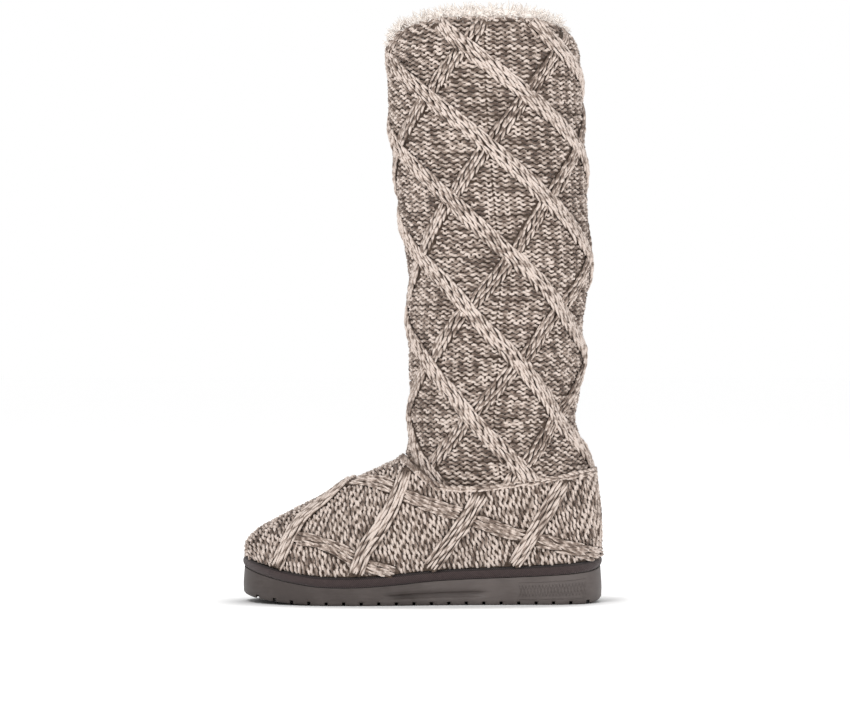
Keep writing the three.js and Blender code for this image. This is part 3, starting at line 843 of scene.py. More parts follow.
class Strands:
    """Yarn centre lines, with the length along each, its girth and its tone at every point."""

    fewest = 4
    cut_girth = 0.55

    def __init__(self) -> None:
        """Starts with no line."""
        self.points: list[Array] = []
        self.lengths: list[Array] = []
        self.girths: list[Array] = []
        self.tones: list[Array] = []
        self.edges: list[Array] = []
        self.count = 0

    def add(self, points: Array, girth: Array | float, tone: Array | float,
            keep: Array | None = None) -> None:
        """Adds one line, or the runs of it that are kept and have enough points.

        Args:
            points: Points of the line.
            girth: Radius at each point, as a share of the yarn's.
            tone: Lightness at each point, around 0.5.
            keep: Which points are kept, or None for all.
        """
        size = len(points)
        chosen = np.ones(size, bool) if keep is None else keep
        length = lengths_along(points)
        girths = np.broadcast_to(girth, size)
        tones = np.broadcast_to(tone, size)
        bounds = np.flatnonzero(np.diff(np.concatenate([[0], chosen.astype(int), [0]])))
        for start, end in bounds.reshape(-1, 2):
            run = end - start
            if run < self.fewest:
                continue
            tapered = girths[start:end].copy()
            if keep is not None:
                tapered[[0, -1]] *= self.cut_girth
            self.points.append(points[start:end])
            self.lengths.append(length[start:end])
            self.girths.append(tapered)
            self.tones.append(tones[start:end])
            order = np.arange(self.count, self.count + run)
            self.edges.append(np.stack([order[:-1], order[1:]], axis=1))
            self.count += run

    def mesh(self, name: str) -> bpy.types.Mesh:
        """Makes a mesh of edges with the attributes that the yarn tree reads."""
        made = bpy.data.meshes.new(name)
        edges = np.concatenate(self.edges)
        made.vertices.add(self.count)
        made.vertices.foreach_set("co", (np.concatenate(self.points) * MM).ravel())
        made.edges.add(len(edges))
        made.edges.foreach_set("vertices", edges.ravel())
        for title, values in (("along", self.lengths), ("girth", self.girths), ("tone", self.tones)):
            layer = made.attributes.new(title, "FLOAT", "POINT")
            layer.data.foreach_set("value", np.concatenate(values))
        made.update()
        return made


class YarnSweep:
    """Geometry Nodes tree that turns centre lines into round yarn."""

    def __init__(self) -> None:
        """Builds the tree, with the inputs Radius, Sides and Material."""
        tree = NodeTree("yarn sweep")
        radius = tree.socket("Radius", "Float")
        sides = tree.socket("Sides", "Int")
        material = tree.socket("Material", "Material")
        lines = tree.node("GeometryNodeMeshToCurve", {"Mesh": tree.source.outputs["Geometry"]})
        circle = tree.node("GeometryNodeCurvePrimitiveCircle", {"Resolution": sides, "Radius": radius})
        place = tree.node("GeometryNodeInputPosition")
        outward = tree.node("ShaderNodeVectorMath", {0: place.outputs[0]}, operation="NORMALIZE")
        profile = tree.node(
            "GeometryNodeStoreNamedAttribute",
            {"Geometry": circle.outputs["Curve"], "Name": "around", "Value": outward.outputs["Vector"]},
            data_type="FLOAT_VECTOR", domain="POINT")
        girth = tree.node("GeometryNodeInputNamedAttribute", {"Name": "girth"}, data_type="FLOAT")
        yarn = tree.node("GeometryNodeCurveToMesh", {
            "Curve": lines.outputs[0], "Profile Curve": profile.outputs[0],
            "Scale": girth.outputs["Attribute"], "Fill Caps": True})
        tree.close(yarn.outputs[0], material)
        self.tree = tree

    def make(self, name: str, strands: Strands, radius: float, material: bpy.types.Material,
             sides: int = 5, slot: str = "knit") -> None:
        """Sweeps strands into a piece and registers it.

        Args:
            name: Name of the piece.
            strands: Centre lines.
            radius: Radius of the yarn in millimetres.
            material: Its finish.
            sides: Sides of its section.
            slot: Its slot, which is not used.
        """
        values = {"Radius": radius * MM, "Sides": sides, "Material": material}
        register(self.tree.run(name, strands.mesh(name + "_lines"), values), slot)


@dataclass(frozen=True)
class PurlLoop:
    """Sizes of the loops that a purl course is made of, and how uneven they are."""

    reach: float
    outset: float = 0.45
    depth: float = 0.42
    radius: float = 1.2
    girth: float = 0.94
    girth_swell: float = 0.1
    uneven_reach: float = 0.22
    uneven_out: float = 0.14
    uneven_girth: float = 0.08
    uneven_tone: float = 0.3

    def wave(self, phase: Array, each: Array) -> tuple[Array, Array, Array, Array]:
        """Waves a course across its line and out from the skin.

        Args:
            phase: Angle at each point, a whole turn for a stitch.
            each: Three random numbers for the stitch of each point.

        Returns:
            Distance across and out, girth and tone at each point.
        """
        twice = np.cos(2 * phase)
        across = (self.reach + self.uneven_reach * each[0]) * np.cos(phase)
        out = self.outset + self.depth * twice + self.uneven_out * each[1]
        girth = self.girth + self.girth_swell * twice + self.uneven_girth * each[2]
        return across, out, girth, 0.5 + self.uneven_tone * each[0]


@dataclass
class ShaftKnit:
    """Purl courses round the shaft, between the bands of the lattice."""

    sweep: YarnSweep
    material: bpy.types.Material
    loop: PurlLoop = PurlLoop(reach=0.82)
    pitch: float = 3.5
    stitches: int = 60
    points: int = 8
    lean: float = 0.09
    band_edge: float = 0.75
    lowest: float = 84.0
    highest: float = 438.0
    below_rim: float = 0.4
    edging: float = 3.0
    below_seam: float = 1.5
    waves: tuple[int, ...] = (3, 7, 13)
    wave_height: float = 0.22
    parts: tuple[str, ...] = ("low", "middle", "high")
    seed: int = 11

    def course(self, height: float, rng: np.random.Generator, strands: Strands) -> None:
        """Adds one course, without what the bands and the foot cover.

        Args:
            height: Height of the course.
            rng: Source of its small unevenness.
            strands: Where it is added.
        """
        number = np.arange(self.stitches * self.points + 1)
        t = number * TURN / self.points
        heights = rng.normal(0, self.wave_height, len(self.waves))
        phases = rng.uniform(0, TURN, len(self.waves))
        wander = sum(
            a * np.sin(k * t / self.stitches + p) for k, a, p in zip(self.waves, heights, phases))
        stitch = np.minimum(number // self.points, self.stitches)
        each = rng.normal(0, 1, (3, self.stitches + 1))[:, stitch]
        across, out, girth, tone = self.loop.wave(t, each)
        share = (t / TURN + self.lean * np.sin(2 * t)) / self.stitches
        level = np.minimum(height + wander + across, RIM_HEIGHT - self.below_rim)
        points = SHAFT.point(level, share, out)
        clear = (SHAFT.rise(level, share) < self.band_edge) | (level > RIM_HEIGHT - self.edging)
        strands.add(points, girth, tone, clear & above_seam(points, -self.below_seam))

    def build(self) -> None:
        """Makes the courses as one piece for each stretch of the shaft."""
        rng = np.random.default_rng(self.seed)
        heights = np.arange(self.lowest, self.highest, self.pitch)
        for part, stretch in zip(self.parts, np.array_split(heights, len(self.parts))):
            strands = Strands()
            for height in stretch:
                self.course(height, rng, strands)
            self.sweep.make(f"shaft_knit_{part}", strands, self.loop.radius, self.material)


@dataclass(frozen=True)
class Unevenness:
    """How far the long stitches of a band stray, in millimetres or as shares."""

    length: float = 0.1
    lean: float = 0.5
    side: float = 0.38
    out: float = 0.16
    girth: float = 0.09
    tone: float = 0.4
    pitch: float = 0.06


@dataclass(frozen=True)
class CableGauge:
    """Sizes of the long stitches that make up a band."""

    columns: tuple[float, ...]
    leans: tuple[float, ...]
    leg: float
    pitch: float
    crest: float
    edge: float
    radius: float = 1.15
    points: int = 7
    past_columns: float = 1.2
    sink: float = 0.9
    tip_girth: float = 0.35
    swell_girth: float = 0.72
    uneven: Unevenness = Unevenness()


@dataclass
class BandLine:
    """Centre line of a band: its points, outward directions and how far it is lifted."""

    points: Array
    normals: Array
    lift: Array

    def __post_init__(self) -> None:
        """Works out the lengths along the line and the directions across it."""
        self.lengths = lengths_along(self.points)
        self.across = unit(np.cross(self.normals, np.gradient(self.points, axis=0)))

    def at(self, length: Array, sideways: Array, out: Array) -> Array:
        """Points at lengths along the line, set sideways and out."""
        def read(rows: Array) -> Array:
            """Rows at the lengths."""
            return np.stack([np.interp(length, self.lengths, rows[:, k]) for k in range(3)], axis=-1)

        lift = np.interp(length, self.lengths, self.lift)
        return read(self.points) + read(self.across) * sideways[..., None] + read(
            self.normals) * (out * lift)[..., None]


class Centres:
    """Points of centre lines, to tell what lies beside them."""

    def __init__(self, lines: Sequence[BandLine]) -> None:
        """Takes the lines."""
        points = np.concatenate([line.points for line in lines])
        self.tree = KDTree(len(points))
        for index, point in enumerate(points):
            self.tree.insert(Vector(point), index)
        self.tree.balance()

    def clear(self, points: Array, distance: float) -> Array:
        """Which points lie further than a distance from every centre."""
        return np.array([self.tree.find(Vector(point))[2] > distance for point in points])


def add_legs(line: BandLine, gauge: CableGauge, rng: np.random.Generator, strands: Strands,
             shows: Callable[[Array], Array]) -> None:
    """Lays the long stitches of a band along its line.

    Args:
        line: Centre line.
        gauge: Sizes of the stitches.
        rng: Source of their small unevenness.
        strands: Where they are added.
        shows: Says for points of a stitch which of them show.
    """
    uneven = gauge.uneven
    t = np.linspace(0, 1, gauge.points)
    swell = np.sin(math.pi * np.clip(t * 0.94 + 0.03, 0, 1))
    half = max(abs(column) for column in gauge.columns) + gauge.past_columns
    for k, column in enumerate(gauge.columns):
        crown = math.sqrt(1 - (column / half) ** 2)
        start = -gauge.leg + gauge.pitch * ((k * 0.5) % 1)
        while start < line.lengths[-1]:
            jitter = rng.normal(0, 1, 5)
            leg = gauge.leg * (1 + uneven.length * jitter[0])
            length = start + leg * t
            lean = gauge.leans[k % len(gauge.leans)] + uneven.lean * jitter[0]
            side = column + lean * (t - 0.5) + uneven.side * jitter[1]
            out = lerp(gauge.edge, gauge.crest, crown) - gauge.sink + gauge.sink * swell
            points = line.at(length, side, out + uneven.out * jitter[2])
            girth = (gauge.tip_girth + gauge.swell_girth * swell ** 0.8) * (1 + uneven.girth * jitter[3])
            keep = (length > 0) & (length < line.lengths[-1]) & shows(points)
            strands.add(points, girth, 0.55 + uneven.tone * jitter[4], keep)
            start += gauge.pitch * (1 + uneven.pitch * rng.normal())


@dataclass
class ShaftCables:
    """Raised bands that cross round the shaft as a lattice of diamonds."""

    sweep: YarnSweep
    material: bpy.types.Material
    over: CableGauge = CableGauge(
        columns=(-4.9, -3.0, -1.0, 1.0, 3.0, 4.9), leans=(-0.2, -2.6), leg=10.5, pitch=6.6, crest=3.5,
        edge=1.3, radius=1.0)
    under: CableGauge = CableGauge(
        columns=(-3.9, -1.3, 1.3, 3.9), leans=(3.2, 1.4), leg=9.0, pitch=6.2, crest=2.9, edge=1.0,
        radius=1.08)
    from_row: float = -0.5
    to_row: float = 8.5
    samples: int = 260
    below_rim: float = 0.5
    flatter_from: float = 12.0
    flatter_by: float = 0.55
    below_seam: float = 1.0
    clearance: float = 4.9
    seed: int = 23

    def line(self, number: int, slant: Slant) -> BandLine:
        """Centre line of one band, from the ankle seam to the rim."""
        r = np.linspace(self.from_row, self.to_row, self.samples)
        height, share = SHAFT.lattice(2 * number - slant.value * r, r)
        height = np.minimum(height, RIM_HEIGHT - self.below_rim)
        skin = SHAFT.point(height, share, 0)
        normals = unit(SHAFT.point(height, share, 1) - skin)
        lift = 1 - self.flatter_by * smoothstep(height, RIM_HEIGHT - self.flatter_from, RIM_HEIGHT)
        return BandLine(skin, normals, lift)

    def build(self) -> None:
        """Makes the bands that lie on top and those that pass under them."""
        rng = np.random.default_rng(self.seed)
        tops = [self.line(k, Slant.TO_HEEL) for k in range(COLUMNS_ROUND // 2)]
        centres = Centres(tops)

        def above(points: Array) -> Array:
            """Points that the foot doesn't cover."""
            return above_seam(points, -self.below_seam)

        def clear_of_tops(points: Array) -> Array:
            """Points above the seam and beside the bands on top."""
            return above(points) & centres.clear(points, self.clearance)

        over = Strands()
        for line in tops:
            add_legs(line, self.over, rng, over, above)
        under = Strands()
        for k in range(COLUMNS_ROUND // 2):
            add_legs(self.line(k, Slant.TO_TOE), self.under, rng, under, clear_of_tops)
        self.sweep.make("shaft_cables_over", over, self.over.radius, self.material)
        self.sweep.make("shaft_cables_under", under, self.under.radius, self.material)


@dataclass(frozen=True)
class FootBand:
    """Band of the foot in side view, from its upper to its lower end."""

    slant: Slant
    over_vamp: bool
    line: tuple[tuple[float, float], ...]


FOOT_BANDS = (
    FootBand(Slant.TO_TOE, True, ((-54, 91), (-73, 75.5), (-89.4, 62), (-98, 49), (-104, 36))),
    FootBand(Slant.TO_TOE, False, ((-11, 99), (-24.7, 66.9), (-43.2, 39.5), (-48, 27))),
    FootBand(Slant.TO_TOE, False, ((43.5, 84), (30.9, 61.7), (8.7, 31.5))),
    FootBand(Slant.TO_TOE, False, ((104.5, 92.6), (86, 59.2), (69.6, 33))),
    FootBand(Slant.TO_HEEL, True, ((-59, 89), (-38, 90.5), (-24.8, 87.8), (-9.9, 80.2), (28.7, 66.9),
                                   (64.2, 54.3), (91.9, 47), (122, 38.5))),
    FootBand(Slant.TO_HEEL, False, ((-94, 50), (-68.3, 43.4), (-46.8, 32.3), (-34, 28))),
)


@dataclass
class FootKnit:
    """Knit of the foot: leaning ridges, the bands over them and the chain of the ankle seam."""

    sweep: YarnSweep
    material: bpy.types.Material
    painted_shade_material: bpy.types.Material
    loop: PurlLoop = PurlLoop(reach=0.5)
    pitch: float = 3.2
    lean: float = RIDGE_LEAN
    stitch: float = 7.6
    points: int = 8
    squeeze: float = 0.12
    ring_step: float = 0.04
    angle_steps: int = 321
    heel_wrap_from: float = 50.0
    tip_width: float = 0.5
    band_half: float = 4.6
    band_step: float = 1.5
    band_clearance: float = 5.2
    lowest_ring: float = 0.03
    vamp_points: int = 8
    past_vamp_middle: float = 0.2
    below_end: float = 14.0
    past_seam: float = 0.5
    band_past_seam: float = 1.0
    core_columns: tuple[float, ...] = (-2.9, 0.0, 2.9)
    core_radius: float = 1.9
    core_out: float = 0.7
    seam_steps: int = 481
    seam_below: float = 0.06
    over: CableGauge = CableGauge(
        columns=(-4.6, -2.3, 0.0, 2.3, 4.6), leans=(0.9, -0.7), leg=17.0, pitch=10.2, crest=3.5,
        edge=1.4, radius=1.05)
    under: CableGauge = CableGauge(
        columns=(-4.0, -2.0, 0.0, 2.0, 4.0), leans=(1.4, -1.2), leg=13.0, pitch=8.2, crest=3.0,
        edge=1.2, radius=1.0)
    chain: CableGauge = CableGauge(
        columns=(-1.1, 1.1), leans=(1.4, -1.4), leg=7.5, pitch=4.6, crest=1.3, edge=0.9, radius=1.1,
        points=6)
    seed: int = 37

    def __post_init__(self) -> None:
        """Lays the centre line of each band on each side of the foot."""
        self.lines = [(band, self.band_line(band, side)) for band in FOOT_BANDS for side in Side]

    def band_line(self, band: FootBand, side: Side) -> BandLine:
        """Centre line of a band on one side of the foot."""
        knots = np.array(band.line, float)
        if band.line[-1][1] < band.line[0][1]:
            last = knots[-1] - knots[-2]
            knots = np.vstack([knots, knots[-1] + last / np.linalg.norm(last) * self.below_end])
        chords = lengths_along(knots)
        steps = np.linspace(0, chords[-1], int(chords[-1] / self.band_step))
        x, z = (along(chords, knots[:, k], steps) for k in range(2))
        ring, angle = FOOT.place(x, z, side)
        on_foot = ring > self.lowest_ring
        ring, angle = ring[on_foot], angle[on_foot]
        if band.over_vamp:
            crossing = side.value * self.past_vamp_middle
            lead = np.linspace(crossing, angle[0], self.vamp_points, endpoint=False)
            ring = np.concatenate([np.full(self.vamp_points, ring[0]), ring])
            angle = np.concatenate([lead, angle])
        return BandLine(FOOT.skin(ring, angle), FOOT.normal(ring, angle), np.ones(len(ring)))

    def field(self, ring: Array, side: Side) -> tuple[Array, Array]:
        """Ridge number of the skin on one side, which grows towards the heel.

        Args:
            ring: Ring numbers, one for each row.
            side: Side of the foot.

        Returns:
            Angles from the toe to the heel, and a row of numbers for each ring.
        """
        turn = np.linspace(0, math.pi - 1e-3, self.angle_steps)
        skin = FOOT.skin(ring[:, None], -side.value * turn[None])
        run = lengths_along(skin[..., :2])
        place = skin[..., 0].copy()
        for row in range(len(ring)):
            wraps = skin[row, :, 0] > self.heel_wrap_from
            first = int(np.argmax(wraps))
            place[row, wraps] = skin[row, first, 0] + run[row, wraps] - run[row, first]
        number = place * math.sin(self.lean) + skin[..., 2] * math.cos(self.lean)
        climb = lengths_along(skin[:, 0])
        tip = number[-1, 0] - (climb[-1] - climb)
        weight = np.exp(-(turn / self.tip_width) ** 2)
        return turn, number * (1 - weight) + tip[:, None] * weight

    def ridges(self) -> Strands:
        """Ridges that lean towards the toe, from the platform up to the seam or over the vamp."""
        rng = np.random.default_rng(self.seed)
        ring = np.arange(self.ring_step, TOP_RING, self.ring_step)
        turn, outer = self.field(ring, Side.OUTER)
        inner = self.field(ring, Side.INNER)[1]
        centres = Centres([line for _, line in self.lines])
        strands = Strands()
        for number in np.arange(outer.min() + 0.5, outer.max(), self.pitch):
            runs = []
            for rows, side in ((outer, Side.OUTER), (inner, Side.INNER)):
                angle = np.array([np.interp(number, row, turn, left=np.nan, right=np.nan) for row in rows])
                shown = np.isfinite(angle)
                runs.append(np.stack([ring[shown], -side.value * angle[shown]]))
            if not (runs[0].size and runs[1].size):
                continue
            if number > outer[0, -1]:
                runs[1][1] %= TURN
                runs = [np.hstack([runs[0][:, ::-1], runs[1]])]
            elif number < outer[-1, 0]:
                runs = [np.hstack([runs[0], runs[1][:, ::-1]])]
            for run in runs:
                self.ridge(run, rng, centres, strands)
        return strands

    def ridge(self, run: Array, rng: np.random.Generator, centres: Centres, strands: Strands) -> None:
        """Adds the purl loops along one ridge.

        Args:
            run: Ring numbers and angles of its centre line.
            rng: Source of its small unevenness.
            centres: Centres of the bands that cover it.
            strands: Where it is added.
        """
        length = lengths_along(FOOT.skin(*run))
        count = int(length[-1] / self.stitch * self.points)
        if count < Strands.fewest:
            return
        at = np.linspace(0, length[-1], count)
        t = at / self.stitch * TURN + rng.uniform(0, TURN)
        at = np.clip(at + self.stitch * self.squeeze * np.sin(2 * t), 0, length[-1])
        ring, angle = (np.interp(at, length, row) for row in run)
        centre = FOOT.skin(ring, angle)
        normal = FOOT.normal(ring, angle)
        aside = unit(np.cross(normal, unit(np.gradient(centre, axis=0))))
        stitch = (at / self.stitch).astype(int)
        each = rng.normal(0, 1, (3, stitch.max() + 1))[:, stitch]
        across, out, girth, tone = self.loop.wave(t, each)
        points = centre + aside * across[:, None] + normal * out[:, None]
        keep = centres.clear(points, self.band_half) & ~above_seam(points, self.past_seam)
        strands.add(points, girth, tone, keep)

    def bands(self) -> Strands:
        """Long stitches of the bands, cut where another band lies on top and at the seam."""
        rng = np.random.default_rng(self.seed + 1)
        strands = Strands()
        centres = Centres([line for band, line in self.lines if band.slant is Slant.TO_TOE])

        def on_foot(points: Array) -> Array:
            """Points between the seam and the platform."""
            return ~above_seam(points, self.band_past_seam) & (
                points[:, 2] > featherline(points[:, 0]) - self.past_seam)

        def clear_of_tops(points: Array) -> Array:
            """Points on the foot and beside the bands on top."""
            return on_foot(points) & centres.clear(points, self.band_clearance)

        for band, line in self.lines:
            if band.slant is Slant.TO_TOE:
                add_legs(line, self.over, rng, strands, on_foot)
            else:
                add_legs(line, self.under, rng, strands, clear_of_tops)
        return strands

    def cores(self) -> Strands:
        """Thick strands of painted shade that fill the bands from inside, dark between the long stitches.
        """
        strands = Strands()
        for _, line in self.lines:
            size = len(line.lengths)
            for column in self.core_columns:
                points = line.at(line.lengths, np.full(size, column), np.full(size, self.core_out))
                strands.add(points, 1.0, 0.5, ~above_seam(points, self.past_seam))
        return strands

    def seam(self) -> Strands:
        """Chain of stitches along the ankle seam, round the whole ankle."""
        rng = np.random.default_rng(self.seed + 2)
        angle = np.linspace(-math.pi, math.pi, self.seam_steps)
        ring = np.maximum(FOOT.seam_ring(angle) - self.seam_below, 0)
        line = BandLine(FOOT.skin(ring, angle), FOOT.normal(ring, angle), np.ones(len(angle)))
        strands = Strands()
        add_legs(line, self.chain, rng, strands, lambda points: np.ones(len(points), bool))
        return strands

    def build(self) -> None:
        """Makes the ridges, the bands and the seam."""
        self.sweep.make("foot_knit", self.ridges(), self.loop.radius, self.material)
        self.sweep.make("foot_cables", self.bands(), self.over.radius, self.material)
        self.sweep.make("ankle_chain", self.seam(), self.chain.radius, self.material)
        # The band cores carry the painted-shade material.
        self.sweep.make("foot_band_painted_shade", self.cores(), self.core_radius, self.painted_shade_material, 4)


@dataclass
class Backing:
    """Wall of the upper behind the yarn, coloured with painted shade, and the fleece that lines it."""

    # knit: the wall's painted-shade material, seen dark between the stitches.
    knit: bpy.types.Material
    fleece: bpy.types.Material
    thickness: float = 2.3
    lining_thickness: float = 1.2
    columns: int = 150
    foot_rows: int = 44
    wall_outset: float = -0.5
    lining_outset: float = -WALL - 0.1
    under_bands: float = 0.5
    rim_fade: tuple[float, float] = (2, 20)
    ledge_places: int = 720
    ledge_depth: float = 1.4
    ledge_rows: tuple[float, ...] = (0.35, 0.7, 1.0)

    def shaft_sheet(self, outset: float, lift: float, low: float, high: float, step: float) -> Array:
        """Grid of points round the shaft.

        Args:
            outset: Distance out from the skin.
            lift: Share of the bands' height that it follows.
            low: Height of its lower edge.
            high: Height of its upper edge.
            step: Distance between its rows.

        Returns:
            The points, by row and column.
        """
        heights = np.append(np.arange(low, high, step), high)[:, None]
        share = np.arange(self.columns)[None] / self.columns
        rise = SHAFT.rise(heights, share) * smoothstep(RIM_HEIGHT - heights, *self.rim_fade)
        return SHAFT.point(heights, share, outset + lift * rise)

    def foot_sheet(self, outset: float, below: float) -> Array:
        """Grid of points round the foot, from the featherline to just below the ankle seam."""
        angle = np.linspace(0, TURN, self.columns, endpoint=False)
        top = FOOT.seam_ring(angle) - below
        ring = np.linspace(0, 1, self.foot_rows)[:, None] * top[None]
        return FOOT.point(ring, np.broadcast_to(angle, ring.shape), np.full(ring.shape, outset))

    def ledge(self, points: Array) -> Array:
        """Closes the step of the ankle seam, from the foot's upper edge in to the shaft's wall."""
        edge = points[-1]
        share = np.arange(self.ledge_places) / self.ledge_places
        ring = SHAFT.point(edge[:, 2:], share[None], -self.ledge_depth)
        apart = np.linalg.norm(ring[..., :2] - edge[:, None, :2], axis=2)
        inner = ring[np.arange(len(edge)), apart.argmin(axis=1)]
        return np.concatenate([points, [lerp(edge, inner, share) for share in self.ledge_rows]])

    def build(self) -> None:
        """Makes the wall and the lining of the shaft and the foot, each thickened inwards."""
        out, inside = self.wall_outset, self.lining_outset
        # The wall takes the painted-shade material; the lining takes the fleece.
        knit = (self.thickness, self.knit, "knit", "upper")
        fleece = (self.lining_thickness, self.fleece, "fleece")
        for name, points, (thickness, material, *names) in (
            ("shaft_wall", self.shaft_sheet(
                out, self.under_bands, low=80, high=RIM_HEIGHT - 0.6, step=3.6), knit),
            ("foot_wall", self.ledge(self.foot_sheet(out, below=0.04)), knit),
            ("shaft_lining", self.shaft_sheet(inside, 0, low=86, high=410, step=8.0), fleece),
            ("foot_lining", self.foot_sheet(inside, below=0.3), fleece),
        ):
            piece = linked(name, new_mesh(name, points, grid_faces(*points.shape[:2])))
            piece.data.materials.append(material)
            wall = piece.modifiers.new("wall", "SOLIDIFY")
            wall.thickness = thickness * MM
            wall.offset = -1
            register(piece, *names)


@dataclass
class FurCollar:
    """Roll of long pile inside the rim, with a tuft that hangs over the front."""

    material: bpy.types.Material
    rows: int = 28
    columns: int = 120
    density: float = 240000.0
    lock_length: float = 5.4
    lock_radius: float = 0.85
    lock_bend: float = 0.55
    lock_sizes: tuple[float, float] = (0.6, 1.25)
    lock_lean: float = 0.7
    bare_below: float = 2.5
    bare_depth: float = 6.0
    seed: int = 5
    tuft_columns: int = 11
    tuft_middle: float = -0.25
    tuft_half: float = 0.036
    tuft_curl: float = 0.25
    tuft: tuple[tuple[float, float], ...] = (
        (6, 441.5), (2, 442), (-2, 441.5), (-4.4, 439), (-4.8, 434.5), (-4.0, 430), (-2.8, 426))

    def place(self, share: Array, inset: Array, height: Array) -> Array:
        """Point at a distance in from the shaft's skin, also above the rim."""
        level = SHAFT.point(np.minimum(height, RIM_HEIGHT), share, -inset)
        level[..., 2] += np.maximum(height - RIM_HEIGHT, 0)
        return level

    def carrier(self) -> bpy.types.Mesh:
        """Surface that the locks grow from: the roll, and the tuft's patch.

        Returns:
            A mesh whose attribute grow is 0 where the knit of the rim lies close.
        """
        steps = np.linspace(0, len(FUR_SECTION.rows) - 1, self.rows)
        inset, height = (FUR_SECTION.at(name, steps) for name in ("inset", "height"))
        share = np.arange(self.columns)[None] / self.columns
        roll = self.place(share, inset[:, None], height[:, None])
        roll = np.concatenate([roll, roll[:1]])
        patch = np.array(self.tuft, float)
        middle = np.linspace(-1, 1, self.tuft_columns)[None]
        across = self.tuft_middle + np.linspace(-self.tuft_half, self.tuft_half, self.tuft_columns)[None]
        wave = 1 - self.tuft_curl * middle ** 2
        lap_inset = np.where(patch[:, :1] < 0, patch[:, :1] * wave, patch[:, :1])
        lap = self.place(across, lap_inset, np.broadcast_to(patch[:, 1:], lap_inset.shape))
        faces = grid_faces(*roll.shape[:2])
        faces += grid_faces(*lap.shape[:2], closed=False, flip=True, first=roll[..., 0].size)
        base = new_mesh("fur_base", np.concatenate([roll.reshape(-1, 3), lap.reshape(-1, 3)]), faces)
        grows = (height > RIM_HEIGHT - self.bare_below) | (inset > self.bare_depth)
        grows = np.repeat(np.append(grows, grows[0]), self.columns)
        grow = np.concatenate([grows, np.ones(lap[..., 0].size)])
        base.attributes.new("grow", "FLOAT", "POINT").data.foreach_set("value", grow)
        return base

    def tree(self) -> NodeTree:
        """Tree that grows tapered, bent locks out of a surface."""
        tree = NodeTree("fur locks")
        density = tree.socket("Density", "Float")
        length = tree.socket("Length", "Float")
        radius = tree.socket("Radius", "Float")
        seed = tree.socket("Seed", "Int")
        material = tree.socket("Material", "Material")
        surface = tree.source.outputs["Geometry"]
        grow = tree.node("GeometryNodeInputNamedAttribute", {"Name": "grow"}, data_type="FLOAT")
        roots = tree.node("GeometryNodeDistributePointsOnFaces", {
            "Mesh": surface, "Density": tree.maths("MULTIPLY", density, grow.outputs["Attribute"]),
            "Seed": seed})
        bend = tree.maths("MULTIPLY", length, self.lock_bend)
        middle = tree.node("ShaderNodeCombineXYZ", {2: bend})
        tip = tree.node("ShaderNodeCombineXYZ", {0: bend, 2: length})
        curve = tree.node("GeometryNodeCurveQuadraticBezier", {
            "Resolution": 4, "Start": (0, 0, 0), "Middle": middle.outputs[0], "End": tip.outputs[0]})
        share = tree.node("GeometryNodeSplineParameter").outputs["Factor"]
        taper = tree.maths("POWER", tree.maths("SUBTRACT", 1.02, share), 0.6)
        circle = tree.node("GeometryNodeCurvePrimitiveCircle", {"Resolution": 3, "Radius": radius})
        lock = tree.node("GeometryNodeCurveToMesh", {
            "Curve": curve.outputs[0], "Profile Curve": circle.outputs["Curve"],
            "Scale": taper, "Fill Caps": True})
        size = tree.node(
            "FunctionNodeRandomValue", {2: self.lock_sizes[0], 3: self.lock_sizes[1]}, data_type="FLOAT")
        grown = tree.node("GeometryNodeInstanceOnPoints", {
            "Points": roots.outputs["Points"], "Instance": lock.outputs[0],
            "Rotation": roots.outputs["Rotation"], "Scale": size.outputs[1]})
        lean = self.lock_lean
        turn = tree.node("FunctionNodeRandomValue", {0: (-lean, -lean, 0), 1: (lean, lean, TURN)},
                         data_type="FLOAT_VECTOR")
        turned = tree.node("GeometryNodeRotateInstances", {
            "Instances": grown.outputs[0], "Rotation": turn.outputs[0], "Local Space": True})
        joined = tree.node("GeometryNodeJoinGeometry")
        tree.feed(joined.inputs[0], turned.outputs[0])
        tree.feed(joined.inputs[0], surface)
        tree.close(joined.outputs[0], material)
        return tree

    def build(self) -> None:
        """Makes the collar."""
        piece = self.tree().run("fur_locks", self.carrier(), {
            "Density": self.density, "Length": self.lock_length * MM, "Radius": self.lock_radius * MM,
            "Seed": self.seed, "Material": self.material})
        register(piece, "fleece", "fur_collar")


